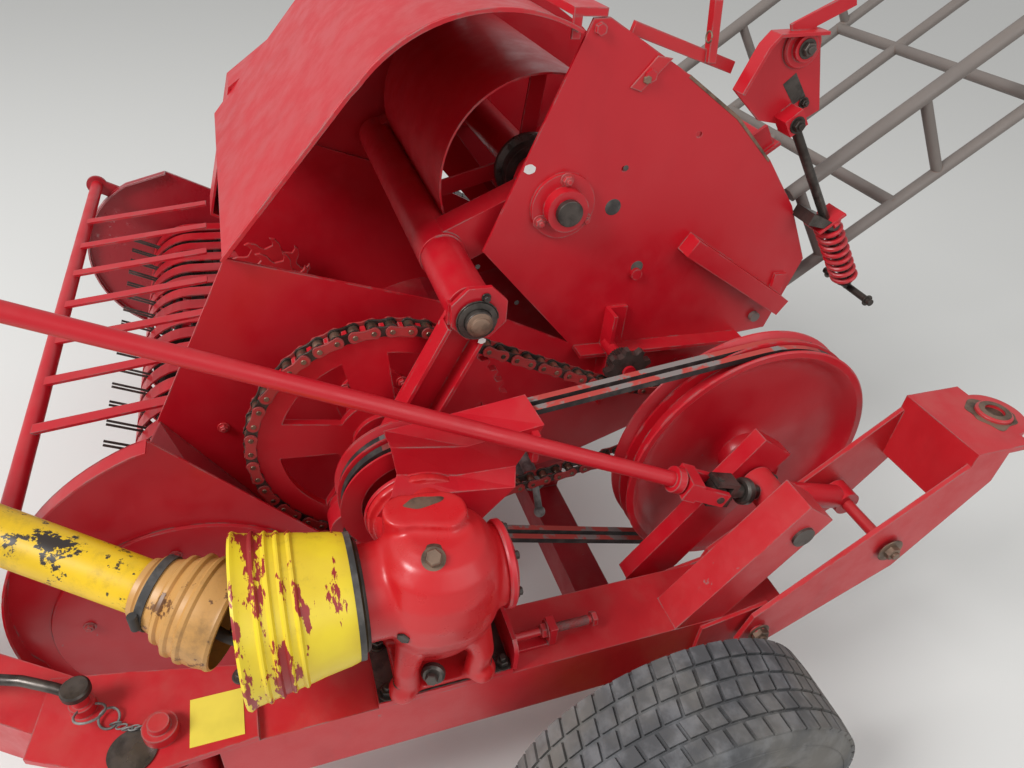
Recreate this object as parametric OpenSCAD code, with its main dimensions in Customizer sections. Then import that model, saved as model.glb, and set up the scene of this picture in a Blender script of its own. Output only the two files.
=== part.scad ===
// Trailed pickup baler with a swinging plunger, side guards off.
// x runs to the machine's left, y to the rear, z up from the ground, in millimetres.
// The origin lies on the ground in the middle of the machine's outline.

/* [Wheels] */
// Outer radius of the tyres
tyre_r = 305; // [290:5:320]
// Width of a tyre
tyre_w = 196; // [180:2:205]
// Distance of the left tyre's middle from the machine's middle
wheel_left_x = 996; // [985:1:1005]
// Distance of the right tyre's middle from the machine's middle
wheel_right_x = -996; // [-1005:1:-985]
// Place of the axle line, fore and aft
axle_y = 315; // [300:5:330]

/* [Frame] */
// Inner face of the main beam
beam_x0 = 682; // [676:1:690]
// Width of the main beam
beam_w = 130; // [124:2:132]
// Height of the main beam's top
beam_top = 490; // [486:1:492]
// Height of the main beam's section
beam_h = 130; // [110:5:140]
// Front end of the main beam
beam_y0 = -440; // [-450:5:-430]
// Rear end of the main beam
beam_y1 = 610; // [590:5:620]

/* [Baling chamber] */
// Outer face of the left side plate
side_left_x = 287; // [280:1:290]
// Outer face of the right side plate
side_right_x = -463; // [-480:1:-450]
// Thickness of the side plates
plate_t = 6; // [4:1:8]
// Place of the plunger's pivot, fore and aft
pivot_y = 261; // [258:1:264]
// Height of the plunger's pivot
pivot_z = 1114; // [1111:1:1117]
// Radius of the chamber's curved floor about the pivot
floor_r = 556; // [552:1:562]

/* [Plunger drive] */
// Distance of the cross tube from the pivot
swing_arm = 240; // [236:1:244]
// Angle of the swing arm below level at rest
swing_rest = 25; // [23:1:27]
// Radius of the cross tube
cross_r = 45; // [40:1:47]
// Reach of the plunger from its pivot
plunger_r = 528; // [510:1:532]
// Place of the crank shaft, fore and aft
crank_y = -100; // [-104:1:-96]
// Height of the crank shaft
crank_z = 722; // [718:1:726]
// Throw of the crank
crank_r = 175; // [170:1:180]
// Teeth on the crank sprocket
crank_teeth = 48; // [46:2:48]
// Teeth on the countershaft sprocket
counter_teeth = 12; // [11:1:13]
// Chain pitch
chain_pitch = 31.75; // [31:0.25:32]

/* [Belt drive] */
// Place of the countershaft, fore and aft
counter_y = 621; // [616:1:626]
// Height of the countershaft
counter_z = 654; // [650:1:658]
// Radius of the large pulley
pulley_r = 268; // [262:1:272]
// Distance of the gearbox from the machine's middle
gear_x = 750; // [748:1:752]
// Place of the gearbox's cross shaft, fore and aft
gear_y = -83; // [-86:1:-80]
// Height of the gearbox's shafts
gear_z = 717; // [714:1:720]
// Radius of the small pulley
small_r = 120; // [112:1:124]
// Middle of the belts
belt_x = 545; // [543:1:547]

/* [Pickup] */
// Place of the reel's axis, fore and aft
reel_y = -491; // [-495:1:-487]
// Height of the reel's axis
reel_z = 371; // [368:1:376]
// Radius of the stripper bands
band_r = 140; // [134:1:144]
// Reach of the tines
tine_r = 216; // [210:1:217]
// Plane of the left end sheet
dish_left_x = 454; // [450:1:456]
// Plane of the right end sheet
dish_right_x = -1080; // [-1084:1:-1076]
// Place of the wind guard's tube, fore and aft
guard_y = -748; // [-752:1:-744]
// Height of the wind guard's tube
guard_z = 649; // [646:1:652]
// Number of flat bars on the wind guard
guard_bars = 7; // [5:1:7]

/* [Drawbar] */
// Distance of the drawbar's pivot from the machine's middle
draw_x = 765; // [760:1:768]
// Place of the drawbar's pivot, fore and aft
draw_y = -520; // [-524:1:-516]
// Angle of the drawbar toward the machine's middle, as it stands for the road
draw_angle = 33; // [30:1:35]
// Length from the pivot to the towing eye
draw_len = 1350; // [1300:10:1400]

/* [Bale chute] */
// Rear end of the chute
rear_y = 1712; // [1680:2:1740]
// Slope of the chute
chute_slope = 37; // [35:1:39]

/* [Hidden] */

clear = 5;
chamber_l = side_left_x - plate_t;
chamber_r = side_right_x + plate_t;
beam_x1 = beam_x0 + beam_w;
beam_mid = beam_x0 + beam_w / 2;

// Plunger linkage at the dead centre shown
cross_y = pivot_y - swing_arm * cos(swing_rest);
cross_z = pivot_z - swing_arm * sin(swing_rest);
link_len = norm([cross_y - crank_y, cross_z - crank_z]);
link_dir = [cross_y - crank_y, cross_z - crank_z] / link_len;
rod_len = link_len + crank_r;
pin_y = crank_y - crank_r * link_dir[0];
pin_z = crank_z - crank_r * link_dir[1];
rod_x0 = 438;
rod_x1 = 484;

// Chain
crank_pitch_r = chain_pitch / 2 / sin(180 / crank_teeth);
counter_pitch_r = chain_pitch / 2 / sin(180 / counter_teeth);
chain_x = 405;
chain_roller_w = 19;
chain_plate_t = 4;
idler_y = 399;
idler_z = 800;
idler_teeth = 9;
idler_pitch_r = chain_pitch / 2 / sin(180 / idler_teeth);
pickup_pivot = [-225, 430];
feeder = [-262, 645];
density_hinge = [445, 955];
chute_hinge = [780, 812];
hitch_pivot = [540, 455];
hitch_pin = [780, 625];
screw_p = [577, 688];
screw_x = 698;

// Colours
red = [0.75, 0.07, 0.10];
dark_red = [0.55, 0.05, 0.08];
yellow = [0.90, 0.76, 0.10];
steel = [0.55, 0.55, 0.53];
dark = [0.13, 0.12, 0.12];
rubber = [0.25, 0.26, 0.27];
amber = [0.72, 0.45, 0.18];

// A box given by its two corners
module box(x, y, z) {
    translate([x[0], y[0], z[0]]) cube([x[1] - x[0], y[1] - y[0], z[1] - z[0]]);
}

// Cylinders along the three axes
module xcyl(x0, x1, y, z, r) {
    translate([x0, y, z]) rotate([0, 90, 0]) cylinder(h = x1 - x0, r = r, $fn = 48);
}
module ycyl(x, y0, y1, z, r) {
    translate([x, y0, z]) rotate([-90, 0, 0]) cylinder(h = y1 - y0, r = r, $fn = 48);
}
module zcyl(x, y, z0, z1, r) {
    translate([x, y, z0]) cylinder(h = z1 - z0, r = r, $fn = 48);
}

// A plate whose outline lies in the y-z plane
module plate_yz(x0, x1, outline) {
    translate([x0, 0, 0]) rotate([90, 0, 90]) linear_extrude(x1 - x0) polygon(outline);
}

// A plate whose outline lies in the x-y plane
module plate_xy(z0, z1, outline) {
    translate([0, 0, z0]) linear_extrude(z1 - z0) polygon(outline);
}

// A round bar between two points
module bar(p, q, r) {
    d = q - p;
    translate(p) rotate([0, acos(d[2] / norm(d)), atan2(d[1], d[0])]) cylinder(h = norm(d), r = r, $fn = 32);
}

// A flat or square bar in the y-z plane, from p to q, of depth w, between x0 and x1
module flat(x0, x1, p, q, w) {
    d = q - p;
    translate([x0, p[0], p[1]]) rotate([atan2(d[1], d[0]), 0, 0])
        translate([0, 0, -w / 2]) cube([x1 - x0, norm(d), w]);
}

// Points along an arc about c, from angle a to angle b, in n steps
function arc(c, r, a, b, n) = [for (i = [0:n]) c + r * [cos(a + (b - a) * i / n), sin(a + (b - a) * i / n)]];
function reversed(l) = [for (i = [len(l) - 1:-1:0]) l[i]];
// A strip of thickness t whose one side follows the list of points, offset toward the left of travel
function side_of(l, i) = let (a = l[max(i - 1, 0)], b = l[min(i + 1, len(l) - 1)], d = (b - a) / norm(b - a)) [-d[1], d[0]];
function strip(l, t) = concat(l, reversed([for (i = [0:len(l) - 1]) l[i] + t * side_of(l, i)]));

// A ring about the x axis through (y, z)
module ring(x0, x1, y, z, r0, r1) {
    difference() {
        xcyl(x0, x1, y, z, r1);
        xcyl(x0 - 1, x1 + 1, y, z, r0);
    }
}

// Hexagon bolt head on a face that looks along +x
module bolt_x(x, y, z, r, h = 8) {
    translate([x, y, z]) rotate([0, 90, 0]) cylinder(h = h, r = r, $fn = 6);
}

// Outline of a sprocket with n teeth
function sprocket(n, rp, depth) = [for (i = [0:n - 1], j = [0:3])
    let (a = 360 / n * (i + [-0.30, -0.12, 0.12, 0.30][j]), r = rp + depth * [-0.8, 0.55, 0.55, -0.8][j])
    r * [cos(a), sin(a)]];

/* Wheels */
module tyre(x) {
    color(rubber) translate([x, axle_y, tyre_r]) rotate([0, 90, 0]) rotate_extrude($fn = 96) tyre_section();
}
module tyre_section() {
    w = tyre_w / 2;
    groove = 7;
    tread = w * 0.80;
    bands = 5;
    gap = 6;
    step = 2 * tread / bands;
    difference() {
        polygon([
            [180, -w * 0.72], [196, -w * 0.86], [225, -w], [255, -w * 0.98], [tyre_r - 22, -w * 0.90],
            [tyre_r - 6, -tread], [tyre_r, -tread * 0.6], [tyre_r, tread * 0.6], [tyre_r - 6, tread],
            [tyre_r - 22, w * 0.90], [255, w * 0.98], [225, w], [196, w * 0.86], [180, w * 0.72]
        ]);
        for (i = [1:bands - 1])
            translate([tyre_r - groove, -tread + i * step - gap / 2]) square([groove + 2, gap]);
    }
}

// A rim with its disc, hub and wheel nuts, outer side toward side
module rim(x, side) {
    w = tyre_w / 2;
    color(yellow) translate([x, axle_y, tyre_r]) rotate([0, 90 * side, 0]) {
        rotate_extrude($fn = 72) polygon([
            [179.7, -w * 0.72], [179.7, w * 0.72], [188, w * 0.72 + 10], [188, w * 0.72 + 13], [176, w * 0.72 + 13],
            [168, w * 0.60], [150, w * 0.45], [150, 18], [140, 18], [105, 34], [60, 34], [60, 28], [102, 28],
            [138, 12], [150, 12], [150, -w * 0.5], [170, -w * 0.66], [176, -w * 0.72 - 13], [188, -w * 0.72 - 13],
            [188, -w * 0.72 - 10]
        ]);
        difference() {
            translate([0, 0, -40]) cylinder(h = 80, r = 60, $fn = 48);
            translate([0, 0, -41]) cylinder(h = 62, r = 25.05, $fn = 48);
        }
        translate([0, 0, 39]) cylinder(h = 30, r = 42, $fn = 48);
        translate([0, 0, 69]) cylinder(h = 1098 - abs(x) - 69, r = 36, $fn = 48);
        for (i = [0:4]) rotate(72 * i) translate([80, 0, 33]) cylinder(h = 16, r = 11, $fn = 6);
    }
}

module tyre_left() { tyre(wheel_left_x); }
module tyre_right() { tyre(wheel_right_x); }
module rim_left() { rim(wheel_left_x, 1); }
module rim_right() { rim(wheel_right_x, -1); }

// Square axle beam under the chamber, with a stub for each wheel
module axle_beam() {
    color(dark_red) {
        box([-900, 880], [axle_y - 40, axle_y + 40], [tyre_r - 40, tyre_r + 40]);
        xcyl(880, wheel_left_x + 15, axle_y, tyre_r, 25);
        xcyl(wheel_right_x - 15, -900, axle_y, tyre_r, 25);
        box([beam_x0 + 10, beam_x1 - 10], [axle_y - 70, axle_y + 70], [tyre_r + 38, beam_top - beam_h]);
        for (x = [side_left_x - 60, side_right_x + 20])
            plate_yz(x, x + 40, [
                [axle_y - 40, tyre_r + 30], [axle_y + 40, tyre_r + 30], [axle_y + 70, 545], [axle_y - 70, 545]
            ]);
    }
}

/* Main beam with its rear strut and the brackets of the hitch */
module main_beam() {
    z0 = beam_top - beam_h;
    color(red) {
        difference() {
            union() {
                box([beam_x0, beam_x1], [beam_y0, beam_y1], [z0, beam_top]);
                for (x = [beam_x0 - 8, beam_x1]) plate_yz(x, x + 8, [
                    [420, 370], [420, 480], [560, 510], [600, 470], [600, 400]
                ]);
            }
            xcyl(beam_x0 - 10, beam_x1 + 10, hitch_pivot[0], hitch_pivot[1], 15.05);
        }
        // Plates above and below the beam's front end, which hold the drawbar's pivot
        for (z = [z0 - 12, beam_top]) difference() {
            plate_xy(z, z + 12, [
                [beam_x0, beam_y0 + 60], [beam_x1, beam_y0 + 60], [beam_x1 + 14, draw_y - 40],
                [beam_x1 - 60, draw_y - 190], [beam_x0 - 60, draw_y - 170], [beam_x0 - 40, draw_y - 60]
            ]);
            zcyl(draw_x, draw_y, z - 1, z + 13, 16.05);
        }
        // Steep strut that carries the screw's trunnion
        difference() {
            flat(beam_x1 - 73, beam_x1 - 1, [390, beam_top - 34], [600, 740], 82);
            xcyl(beam_x1 - 75, beam_x1 + 5, screw_p[0], screw_p[1], 22.05);
        }
        // Cross member to the chamber
        box([side_left_x, beam_x0 + 1], [-60, 20], [390, 455]);
    }
    color(steel) {
        // Head of the locking pin on the upper plate
        zcyl(690, -635, beam_top + 11, beam_top + 30, 19);
        zcyl(690, -635, beam_top + 29, beam_top + 58, 12);
    }
}

/* Bevel gearbox on its base plate */
module gearbox() {
    color(red) {
        box([beam_x0 + 4, beam_x1], [gear_y - 110, gear_y + 130], [beam_top, beam_top + 12]);
        box([beam_x0 + 4, beam_x1], [gear_y + 122, gear_y + 130], [beam_top, beam_top + 72]);
        box([gear_x - 72, gear_x + 58], [gear_y - 80, gear_y + 80], [beam_top + 12, beam_top + 34]);
        box([gear_x - 52, gear_x + 46], [gear_y - 62, gear_y + 62], [beam_top + 30, gear_z]);
        translate([gear_x, gear_y, gear_z]) sphere(r = 104, $fn = 64);
        zcyl(gear_x, gear_y, gear_z, gear_z + 112, 78);
        zcyl(gear_x, gear_y, gear_z + 112, gear_z + 124, 66);
        ycyl(gear_x, gear_y - 132, gear_y, gear_z, 74);
        ycyl(gear_x, gear_y - 146, gear_y - 130, gear_z, 86);
        xcyl(gear_x - 132, gear_x, gear_y, gear_z, 76);
        xcyl(gear_x - 146, gear_x - 130, gear_y, gear_z, 88);
        ycyl(gear_x, gear_y, gear_y + 112, gear_z, 70);
        ycyl(gear_x, gear_y - 172, gear_y - 140, gear_z, 17);
        for (a = [0:60:300])
            translate([gear_x, gear_y + 110, gear_z]) rotate([0, a, 0]) translate([55, 0, 0])
                rotate([-90, 0, 0]) cylinder(h = 9, r = 8, $fn = 6);
    }
    color(dark) {
        zcyl(gear_x + 14, gear_y - 6, gear_z + 122, gear_z + 134, 14);
        zcyl(gear_x + 14, gear_y - 6, gear_z + 132, gear_z + 146, 9);
        for (x = [gear_x - 62, gear_x + 52], y = [gear_y - 68, gear_y + 68])
            translate([x, y, beam_top + 34]) cylinder(h = 14, r = 11, $fn = 6);
    }
}

/* Guard cone round the gearbox's input */
module pto_cone() {
    cone_y1 = gear_y - 136;
    color(yellow) translate([gear_x, cone_y1, gear_z]) rotate([90, 0, 0]) rotate_extrude($fn = 72) polygon([
        [87, -10], [92, -10], [94, 40], [100, 44], [100, 64], [105, 68], [105, 88], [110, 92], [110, 112],
        [115, 116], [115, 136], [120, 140], [124, 190], [120, 190], [115, 143], [100, 70], [89, 40], [86.3, 0]
    ]);
}

/* Side plates of the chamber */
function rear_part() = [[114, 904], [334, 790], [743, 790], [760, 640], [600, 560], [334, 460], [0, 400]];
left_outline = concat([[-500, 735], [-337, 1056]], rear_part(), [[-408, 400], [-440, 560]]);
right_outline = concat([[-345, 700], [-337, 1056]], rear_part(), [[-262, 400], [-262, 520]]);
function sector_outline() = [
    [113, 1030], [276, 1430], [306, 1432], [475, 1343], [600, 1268], [699, 1182], [790, 1080], [868, 951],
    [822, 775], [560, 752], [328, 786]
];
// Bores that both side plates share: plunger, feeder, pickup, density plate and chute
module shared_bores(x0, x1) {
    xcyl(x0, x1, pivot_y, pivot_z, 25.05);
    xcyl(x0, x1, feeder[0], feeder[1], 20.05);
    xcyl(x0, x1, pickup_pivot[0], pickup_pivot[1], 18.05);
    xcyl(x0, x1, density_hinge[0], density_hinge[1], 12.05);
    xcyl(x0, x1, chute_hinge[0], chute_hinge[1], 12.05);
}

module bearing_x(x, y, z, r) {
    xcyl(x, x + 10, y, z, r * 1.25);
    xcyl(x, x + 34, y, z, r * 0.8);
}

module side_plate_left() {
    post_x = side_left_x + 45;
    color(red) {
        difference() {
            union() {
                plate_yz(chamber_l, side_left_x, left_outline);
                plate_yz(chamber_l, side_left_x, sector_outline());
                bearing_x(side_left_x - 1, pivot_y, pivot_z, 50);
            }
            shared_bores(chamber_l - 30, side_left_x + 60);
            xcyl(chamber_l - 1, side_left_x + 1, 312, 1103, 15);
            xcyl(chamber_l - 1, side_left_x + 1, 447, 968, 12);
            xcyl(chamber_l - 1, side_left_x + 1, 378, 1178, 6);
            xcyl(chamber_l - 1, side_left_x + 1, 248, 1070, 6);
            xcyl(chamber_l - 1, side_left_x + 1, 522, 1237, 6);
        }
        difference() {
            union() {
                bearing_x(side_left_x - 1, crank_y, crank_z, 60);
                bearing_x(side_left_x - 1, counter_y, counter_z, 52);
            }
            xcyl(side_left_x + 3, side_left_x + 60, crank_y, crank_z, 32.05);
            xcyl(side_left_x + 3, side_left_x + 60, counter_y, counter_z, 25.05);
        }
        // Rail along the lower edge of the sector
        flat(side_left_x - 1, side_left_x + 40, [330, 786], [742, 772], 8);
        // Lug arm with its upright tab
        flat(side_left_x - 1, side_left_x + 40, [545, 1020], [820, 850], 40);
        box([side_left_x, side_left_x + 8], [800, 830], [850, 920]);
        // Idler post
        box([side_left_x - 1, post_x], [392, 400], [650, 880]);
        box([side_left_x - 1, side_left_x + 8], [392, 440], [650, 880]);
        bolt_x(side_left_x, 289, 1415, 10);
        bolt_x(side_left_x, 395, 1343, 12);
    }
    color(steel) xcyl(post_x - 25, chain_x + 14, idler_y, idler_z, 14);
}

module side_plate_right() {
    color(red) {
        difference() {
            union() {
                plate_yz(side_right_x, chamber_r, right_outline);
                plate_yz(side_right_x, chamber_r, sector_outline());
                xcyl(side_right_x - 30, side_right_x + 1, pivot_y, pivot_z, 60);
            }
            shared_bores(side_right_x - 31, chamber_r + 1);
        }
        flat(side_right_x - 40, side_right_x + 1, [330, 786], [742, 772], 8);
    }
}

/* Curved floor of the chamber with the funnel sheets at the front */
module chamber_floor() {
    floor_line = concat(
        [[-250, 490], [-60, 505], [120, 560]],
        arc([pivot_y, pivot_z], floor_r, -100, -53.5, 12),
        [[752, 784]]
    );
    color(dark_red) {
        plate_yz(chamber_r, chamber_l, strip(reversed(floor_line), 5));
        // Left funnel sheet, from the side plate out to the end sheet of the pickup
        funnel([side_left_x + 2.8, -496, 732], [side_left_x + 2.8, -310, 430],
            [dish_left_x - 14, -350, 380], [dish_left_x - 14, -600, 622]);
        funnel([side_right_x - 2.8, -344, 700], [side_right_x - 2.8, -250, 490],
            [dish_right_x + 28, -250, 482], [dish_right_x + 28, -380, 650]);
    }
}

// A sloping sheet between the chamber plate at x0 and the pickup's end at x1
module funnel(a, b, c, d) {
    t = 5;
    hull() {
        for (p = [a, b, c, d]) translate(p) box([-t / 2, t / 2], [-1, 1], [-t / 2, t / 2]);
    }
}

/* Arched hood over the plunger */
module hood() {
    line = concat([[-338, 1057]], arc([110, 1045], 397, 157, 69, 14), [[262, 1434]]);
    color(red) {
        plate_yz(side_right_x - 5, side_left_x + 1, strip(line, 4));
        // Rolled rim along the near edge
        plate_yz(side_left_x, side_left_x + 24, strip(line, 6));
        plate_yz(side_left_x + 20, side_left_x + 24, strip(line, 16));
        // Top channel behind the arch
        box([side_right_x, side_left_x], [256, 300], [1432.2, 1446]);
        // Far end wall of the arch
        plate_yz(side_right_x - 5, side_right_x, concat(line, [[114, 904], [-337, 1040]]));
    }
}

/* Cover over the drives on the right side */
module side_cover_right() {
    color(red) difference() {
        plate_yz(side_right_x - 130, side_right_x - 5, [
            [-390, 800], [-300, 1120], [-60, 1300], [120, 1330], [120, 900], [-220, 710]
        ]);
        plate_yz(side_right_x - 126, side_right_x - 1, [
            [-383, 804], [-296, 1114], [-58, 1294], [114, 1324], [114, 904], [-222, 718]
        ]);
    }
}

/* Bent cover over the belts */
module belt_cover() {
    line = [[-178, 882], [-80, 898], [-50, 884], [130, 886], [148, 872]];
    color(red) {
        plate_yz(506, 604, strip(reversed(line), 4));
        plate_yz(600, 604, concat(line, [[146, 808], [120, 756], [-100, 834]]));
        flat(600, 634, [-60, 878], [-60, gear_z + 88], 30);
    }
}

/* Bearing brackets, idler arm and supports of the drive */
module shaft_supports() {
    color(red) {
        // Bracket in front of the large pulley
        difference() {
            union() {
                flat(620, 656, [380, beam_top - 60], [610, 760], 90);
                xcyl(600, 625, counter_y, counter_z, 45);
            }
            xcyl(599, 680, counter_y, counter_z, 25.05);
            xcyl(615, 665, screw_p[0], screw_p[1], 22.05);
        }
        box([620, beam_x0], [370, 418], [beam_top - 110, beam_top - 40]);
    }
}

/* Chain tensioner handle and idler bracket */
module chain_tensioner() {
    color(steel) {
        xcyl(side_left_x, 384, 240, 490, 14);
        xcyl(368, 384, 240, 490, 24);
        bar([376, 240, 490], [424, 240, 440], 8);
        translate([424, 240, 440]) sphere(r = 13, $fn = 24);
    }
    color(red) box([side_left_x, 340], [215, 265], [468, 476]);
}

/* Belts */
// Outline of a belt loop round two pulleys
function loop(c1, r1, c2, r2) = let (
    d = c2 - c1, l = norm(d), a = atan2(d[1], d[0]), b = acos((r1 - r2) / l)
) concat(arc(c1, r1, a + b, a + 360 - b, 28), arc(c2, r2, a - b, a + b, 28));

module drive_belts() {
    for (i = [-1, 1]) color(dark) translate([belt_x + i * 12 - 6.5, 0, 0]) rotate([90, 0, 90]) linear_extrude(13)
        difference() {
            polygon(loop([gear_y, gear_z], small_r + 1, [counter_y, counter_z], pulley_r + 1));
            polygon(loop([gear_y, gear_z], small_r - 11, [counter_y, counter_z], pulley_r - 11));
        }
}

// A grooved pulley whose rims lie between x0 and x1
module pulley(y, z, r, x0, x1, web_x0, web_x1, hub_r, bore) {
    translate([0, y, z]) rotate([0, 90, 0]) rotate_extrude($fn = 96) polygon([
        [r - 30, x0], [r + 6, x0], [r + 6, x0 + 4], [r - 12, belt_x - 19], [r - 12, belt_x - 5],
        [r + 6, belt_x - 2], [r + 6, belt_x + 2], [r - 12, belt_x + 5], [r - 12, belt_x + 19],
        [r + 6, x1 - 4], [r + 6, x1], [r - 30, x1], [r - 34, web_x1], [hub_r, web_x1],
        [bore, web_x1], [bore, web_x0], [r - 34, web_x0]
    ]);
}

module large_pulley() {
    color(red) {
        pulley(counter_y, counter_z, pulley_r, 508, 582, 530, 536, 60, 24.9);
        difference() {
            xcyl(500, 570, counter_y, counter_z, 48);
            xcyl(499, 571, counter_y, counter_z, 24.9);
        }
    }
    color(steel) xcyl(side_left_x + 4, 650, counter_y, counter_z, 25);
}

module counter_sprocket() {
    color(steel) {
        difference() {
            translate([chain_x - 8, counter_y, counter_z]) rotate([90, 0, 90])
                linear_extrude(16) polygon(sprocket(counter_teeth, counter_pitch_r, 8.6));
            xcyl(chain_x - 20, chain_x + 20, counter_y, counter_z, 25.01);
        }
        ring(chain_x + 7, chain_x + 40, counter_y, counter_z, 25.01, 40);
    }
}

module small_pulley() {
    color(red) {
        pulley(gear_y, gear_z, small_r, 508, 582, 525, 565, 40, 0);
    }
    color(steel) xcyl(560, gear_x - 150, gear_y, gear_z, 20);
}

/* Crank sprocket with spoke windows and its crank boss */
module crank_sprocket() {
    // One web spoke lies under the crank pin
    web_turn = atan2(-link_dir[1], -link_dir[0]) + 36;
    color(red) {
        difference() {
            union() {
                translate([chain_x - 8, crank_y, crank_z]) rotate([90, 0, 90]) difference() {
                    linear_extrude(16) polygon(sprocket(crank_teeth, crank_pitch_r, 8.6));
                    for (i = [0:4]) rotate(72 * i + web_turn) translate([0, 0, -1]) linear_extrude(18) polygon(concat(
                        arc([0, 0], crank_pitch_r - 48, -24, 24, 8), arc([0, 0], 92, 14, -14, 4)
                    ));
                }
                xcyl(side_left_x + 40, 424, crank_y, crank_z, 62);
                xcyl(chain_x - 8, 430, pin_y, pin_z, 38);
            }
            xcyl(side_left_x, 440, crank_y, crank_z, 31.95);
        }
    }
    color(steel) xcyl(side_left_x + 4, 428, crank_y, crank_z, 32);
}

module chain_idler() {
    color(steel) difference() {
        union() {
            translate([chain_x - 8, idler_y, idler_z]) rotate([90, 0, 90]) rotate(20) linear_extrude(16)
                polygon(sprocket(idler_teeth, idler_pitch_r, 8.6));
            xcyl(chain_x - 40, chain_x + 8, idler_y, idler_z, 26);
        }
        xcyl(chain_x - 80, chain_x + 40, idler_y, idler_z, 14.05);
    }
}

/* Roller chain: fixed loop of rollers, inner plates and outer plates */
// Rollers sit in the gaps of each wheel's teeth, and the straight runs share out the rest
function tangent_angle(c1, r1, c2, r2, s1, s2) = let (d = c2 - c1, l = norm(d))
    atan2(d[1], d[0]) + s1 * acos((s1 == s2 ? r1 - r2 : r1 + r2) / l);
function gaps(c, r, n, from, to) = let (
    step = 360 / n, i0 = ceil(from / step - 0.5), i1 = floor(to / step - 0.5)
) [for (i = [i0:i1]) c + r * [cos(step * (i + 0.5)), sin(step * (i + 0.5))]];
function run(p, q, odd = 0) = let (n = round(norm(q - p) / chain_pitch) + odd)
    [for (i = [1:n - 1]) p + (q - p) * i / n];
crank_c = [crank_y, crank_z];
idler_c = [idler_y, idler_z];
counter_c = [counter_y, counter_z];
crank_up = tangent_angle(crank_c, crank_pitch_r, idler_c, idler_pitch_r, 1, -1);
crank_low = tangent_angle(crank_c, crank_pitch_r, counter_c, counter_pitch_r, -1, -1);
counter_up = tangent_angle(counter_c, counter_pitch_r, idler_c, idler_pitch_r, -1, 1);
on_crank = gaps(crank_c, crank_pitch_r, crank_teeth, crank_up, crank_low + 360);
on_counter = gaps(counter_c, counter_pitch_r, counter_teeth, crank_low, counter_up);
on_idler = [idler_c + idler_pitch_r * [cos(-80), sin(-80)], idler_c + idler_pitch_r * [cos(-120), sin(-120)]];
function last(l) = l[len(l) - 1];
function loop_pins(odd) = concat(
    on_crank, run(last(on_crank), on_counter[0], odd), on_counter, run(last(on_counter), on_idler[0]),
    on_idler, run(last(on_idler), on_crank[0])
);
chain_pins = loop_pins(len(loop_pins(0)) % 2);
chain_links = len(chain_pins);

// Side plate of a link between two pins, of half height h
module link_plate(p, q, h) {
    d = q - p;
    u = d / norm(d);
    v = [-u[1], u[0]];
    polygon([p - h * u, p - 5 * u + h * v, q + 5 * u + h * v, q + h * u, q + 5 * u - h * v, p - 5 * u - h * v]);
}
// One layer of plates, every other link, between two planes
module plate_layer(first, x0, x1) {
    translate([x0, 0, 0]) rotate([90, 0, 90]) linear_extrude(x1 - x0)
        for (i = [first:2:chain_links - 1]) link_plate(chain_pins[i], chain_pins[(i + 1) % chain_links], 12 - first);
}
function off_wheels(p) = norm(p - crank_c) > crank_pitch_r + 14 && norm(p - counter_c) > counter_pitch_r + 14
    && norm(p - idler_c) > idler_pitch_r + 14;
module roller_chain() {
    w = chain_roller_w / 2;
    t = chain_plate_t;
    color(dark) {
        // A roller between the plates wherever no tooth sweeps past, and the pins' ends everywhere
        translate([chain_x - w - 1, 0, 0]) rotate([90, 0, 90]) linear_extrude(2 * w + 2)
            for (p = chain_pins) if (off_wheels(p)) translate(p) circle(r = 6, $fn = 6);
        for (x = [chain_x - w - 2 * t - 0.5, chain_x + w + 1]) translate([x, 0, 0]) rotate([90, 0, 90])
            linear_extrude(2 * t - 0.5) for (p = chain_pins) translate(p) circle(r = 5, $fn = 6);
        plate_layer(0, chain_x + w, chain_x + w + t);
        plate_layer(0, chain_x - w - t, chain_x - w);
    }
    color(red) {
        plate_layer(1, chain_x + w + t, chain_x + w + 2 * t);
        plate_layer(1, chain_x - w - 2 * t, chain_x - w - t);
    }
}

/* Swinging frame: cross tube, box arms and pivot shafts */
module swing_frame() {
    l = chamber_l - 12;
    r = chamber_r + 12;
    color(red) {
        xcyl(r + 20, l - 10, cross_y, cross_z, cross_r);
        xcyl(l - 20, rod_x0 - 0.3, cross_y, cross_z, 32);
        for (x = [l - 80, r + 20]) flat(x, x + 60, [cross_y, cross_z], [pivot_y, pivot_z], 80);
        for (x = [l - 90, r + 10]) xcyl(x, x + 80, pivot_y, pivot_z, 62);
        xcyl(r + 20, l - 20, pivot_y, pivot_z, 38);
        // Curved back sheet about the pivot
        plate_yz(r + 60, l - 100, strip(arc([pivot_y, pivot_z], 200, -150, -290, 14), 5));
        for (x = [r + 60, l - 106]) plate_yz(x, x + 6, concat(
            arc([pivot_y, pivot_z], 200, -150, -290, 14), arc([pivot_y, pivot_z], 50, -290, -150, 4)
        ));
    }
    color(steel) {
        xcyl(l - 30, side_left_x + 44, pivot_y, pivot_z, 25);
        xcyl(side_right_x - 40, r + 40, pivot_y, pivot_z, 25);
        xcyl(rod_x0, rod_x1 + 18, cross_y, cross_z, 24);
    }
}

/* Plunger head: a box with a flat face that sweeps over the curved floor */
module plunger_head() {
    l = chamber_l - 10;
    r = chamber_r + 10;
    color(red) translate([0, pivot_y, pivot_z]) rotate([38, 0, 0]) {
        difference() {
            box([r, l], [-90, 0], [-plunger_r, -240]);
            box([r + 6, l - 6], [-91, -6], [-plunger_r + 40, -239]);
        }
        for (x = [r + 20, l - 80]) difference() {
            box([x, x + 60], [-70, -6], [-260, -30]);
            xcyl(x - 1, x + 61, 0, 0, 62.02);
        }
        for (i = [1:4]) box([r + i * (l - r) / 5 - 4, r + i * (l - r) / 5 + 4], [-90, -2], [-plunger_r + 10, -240]);
    }
}

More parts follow.
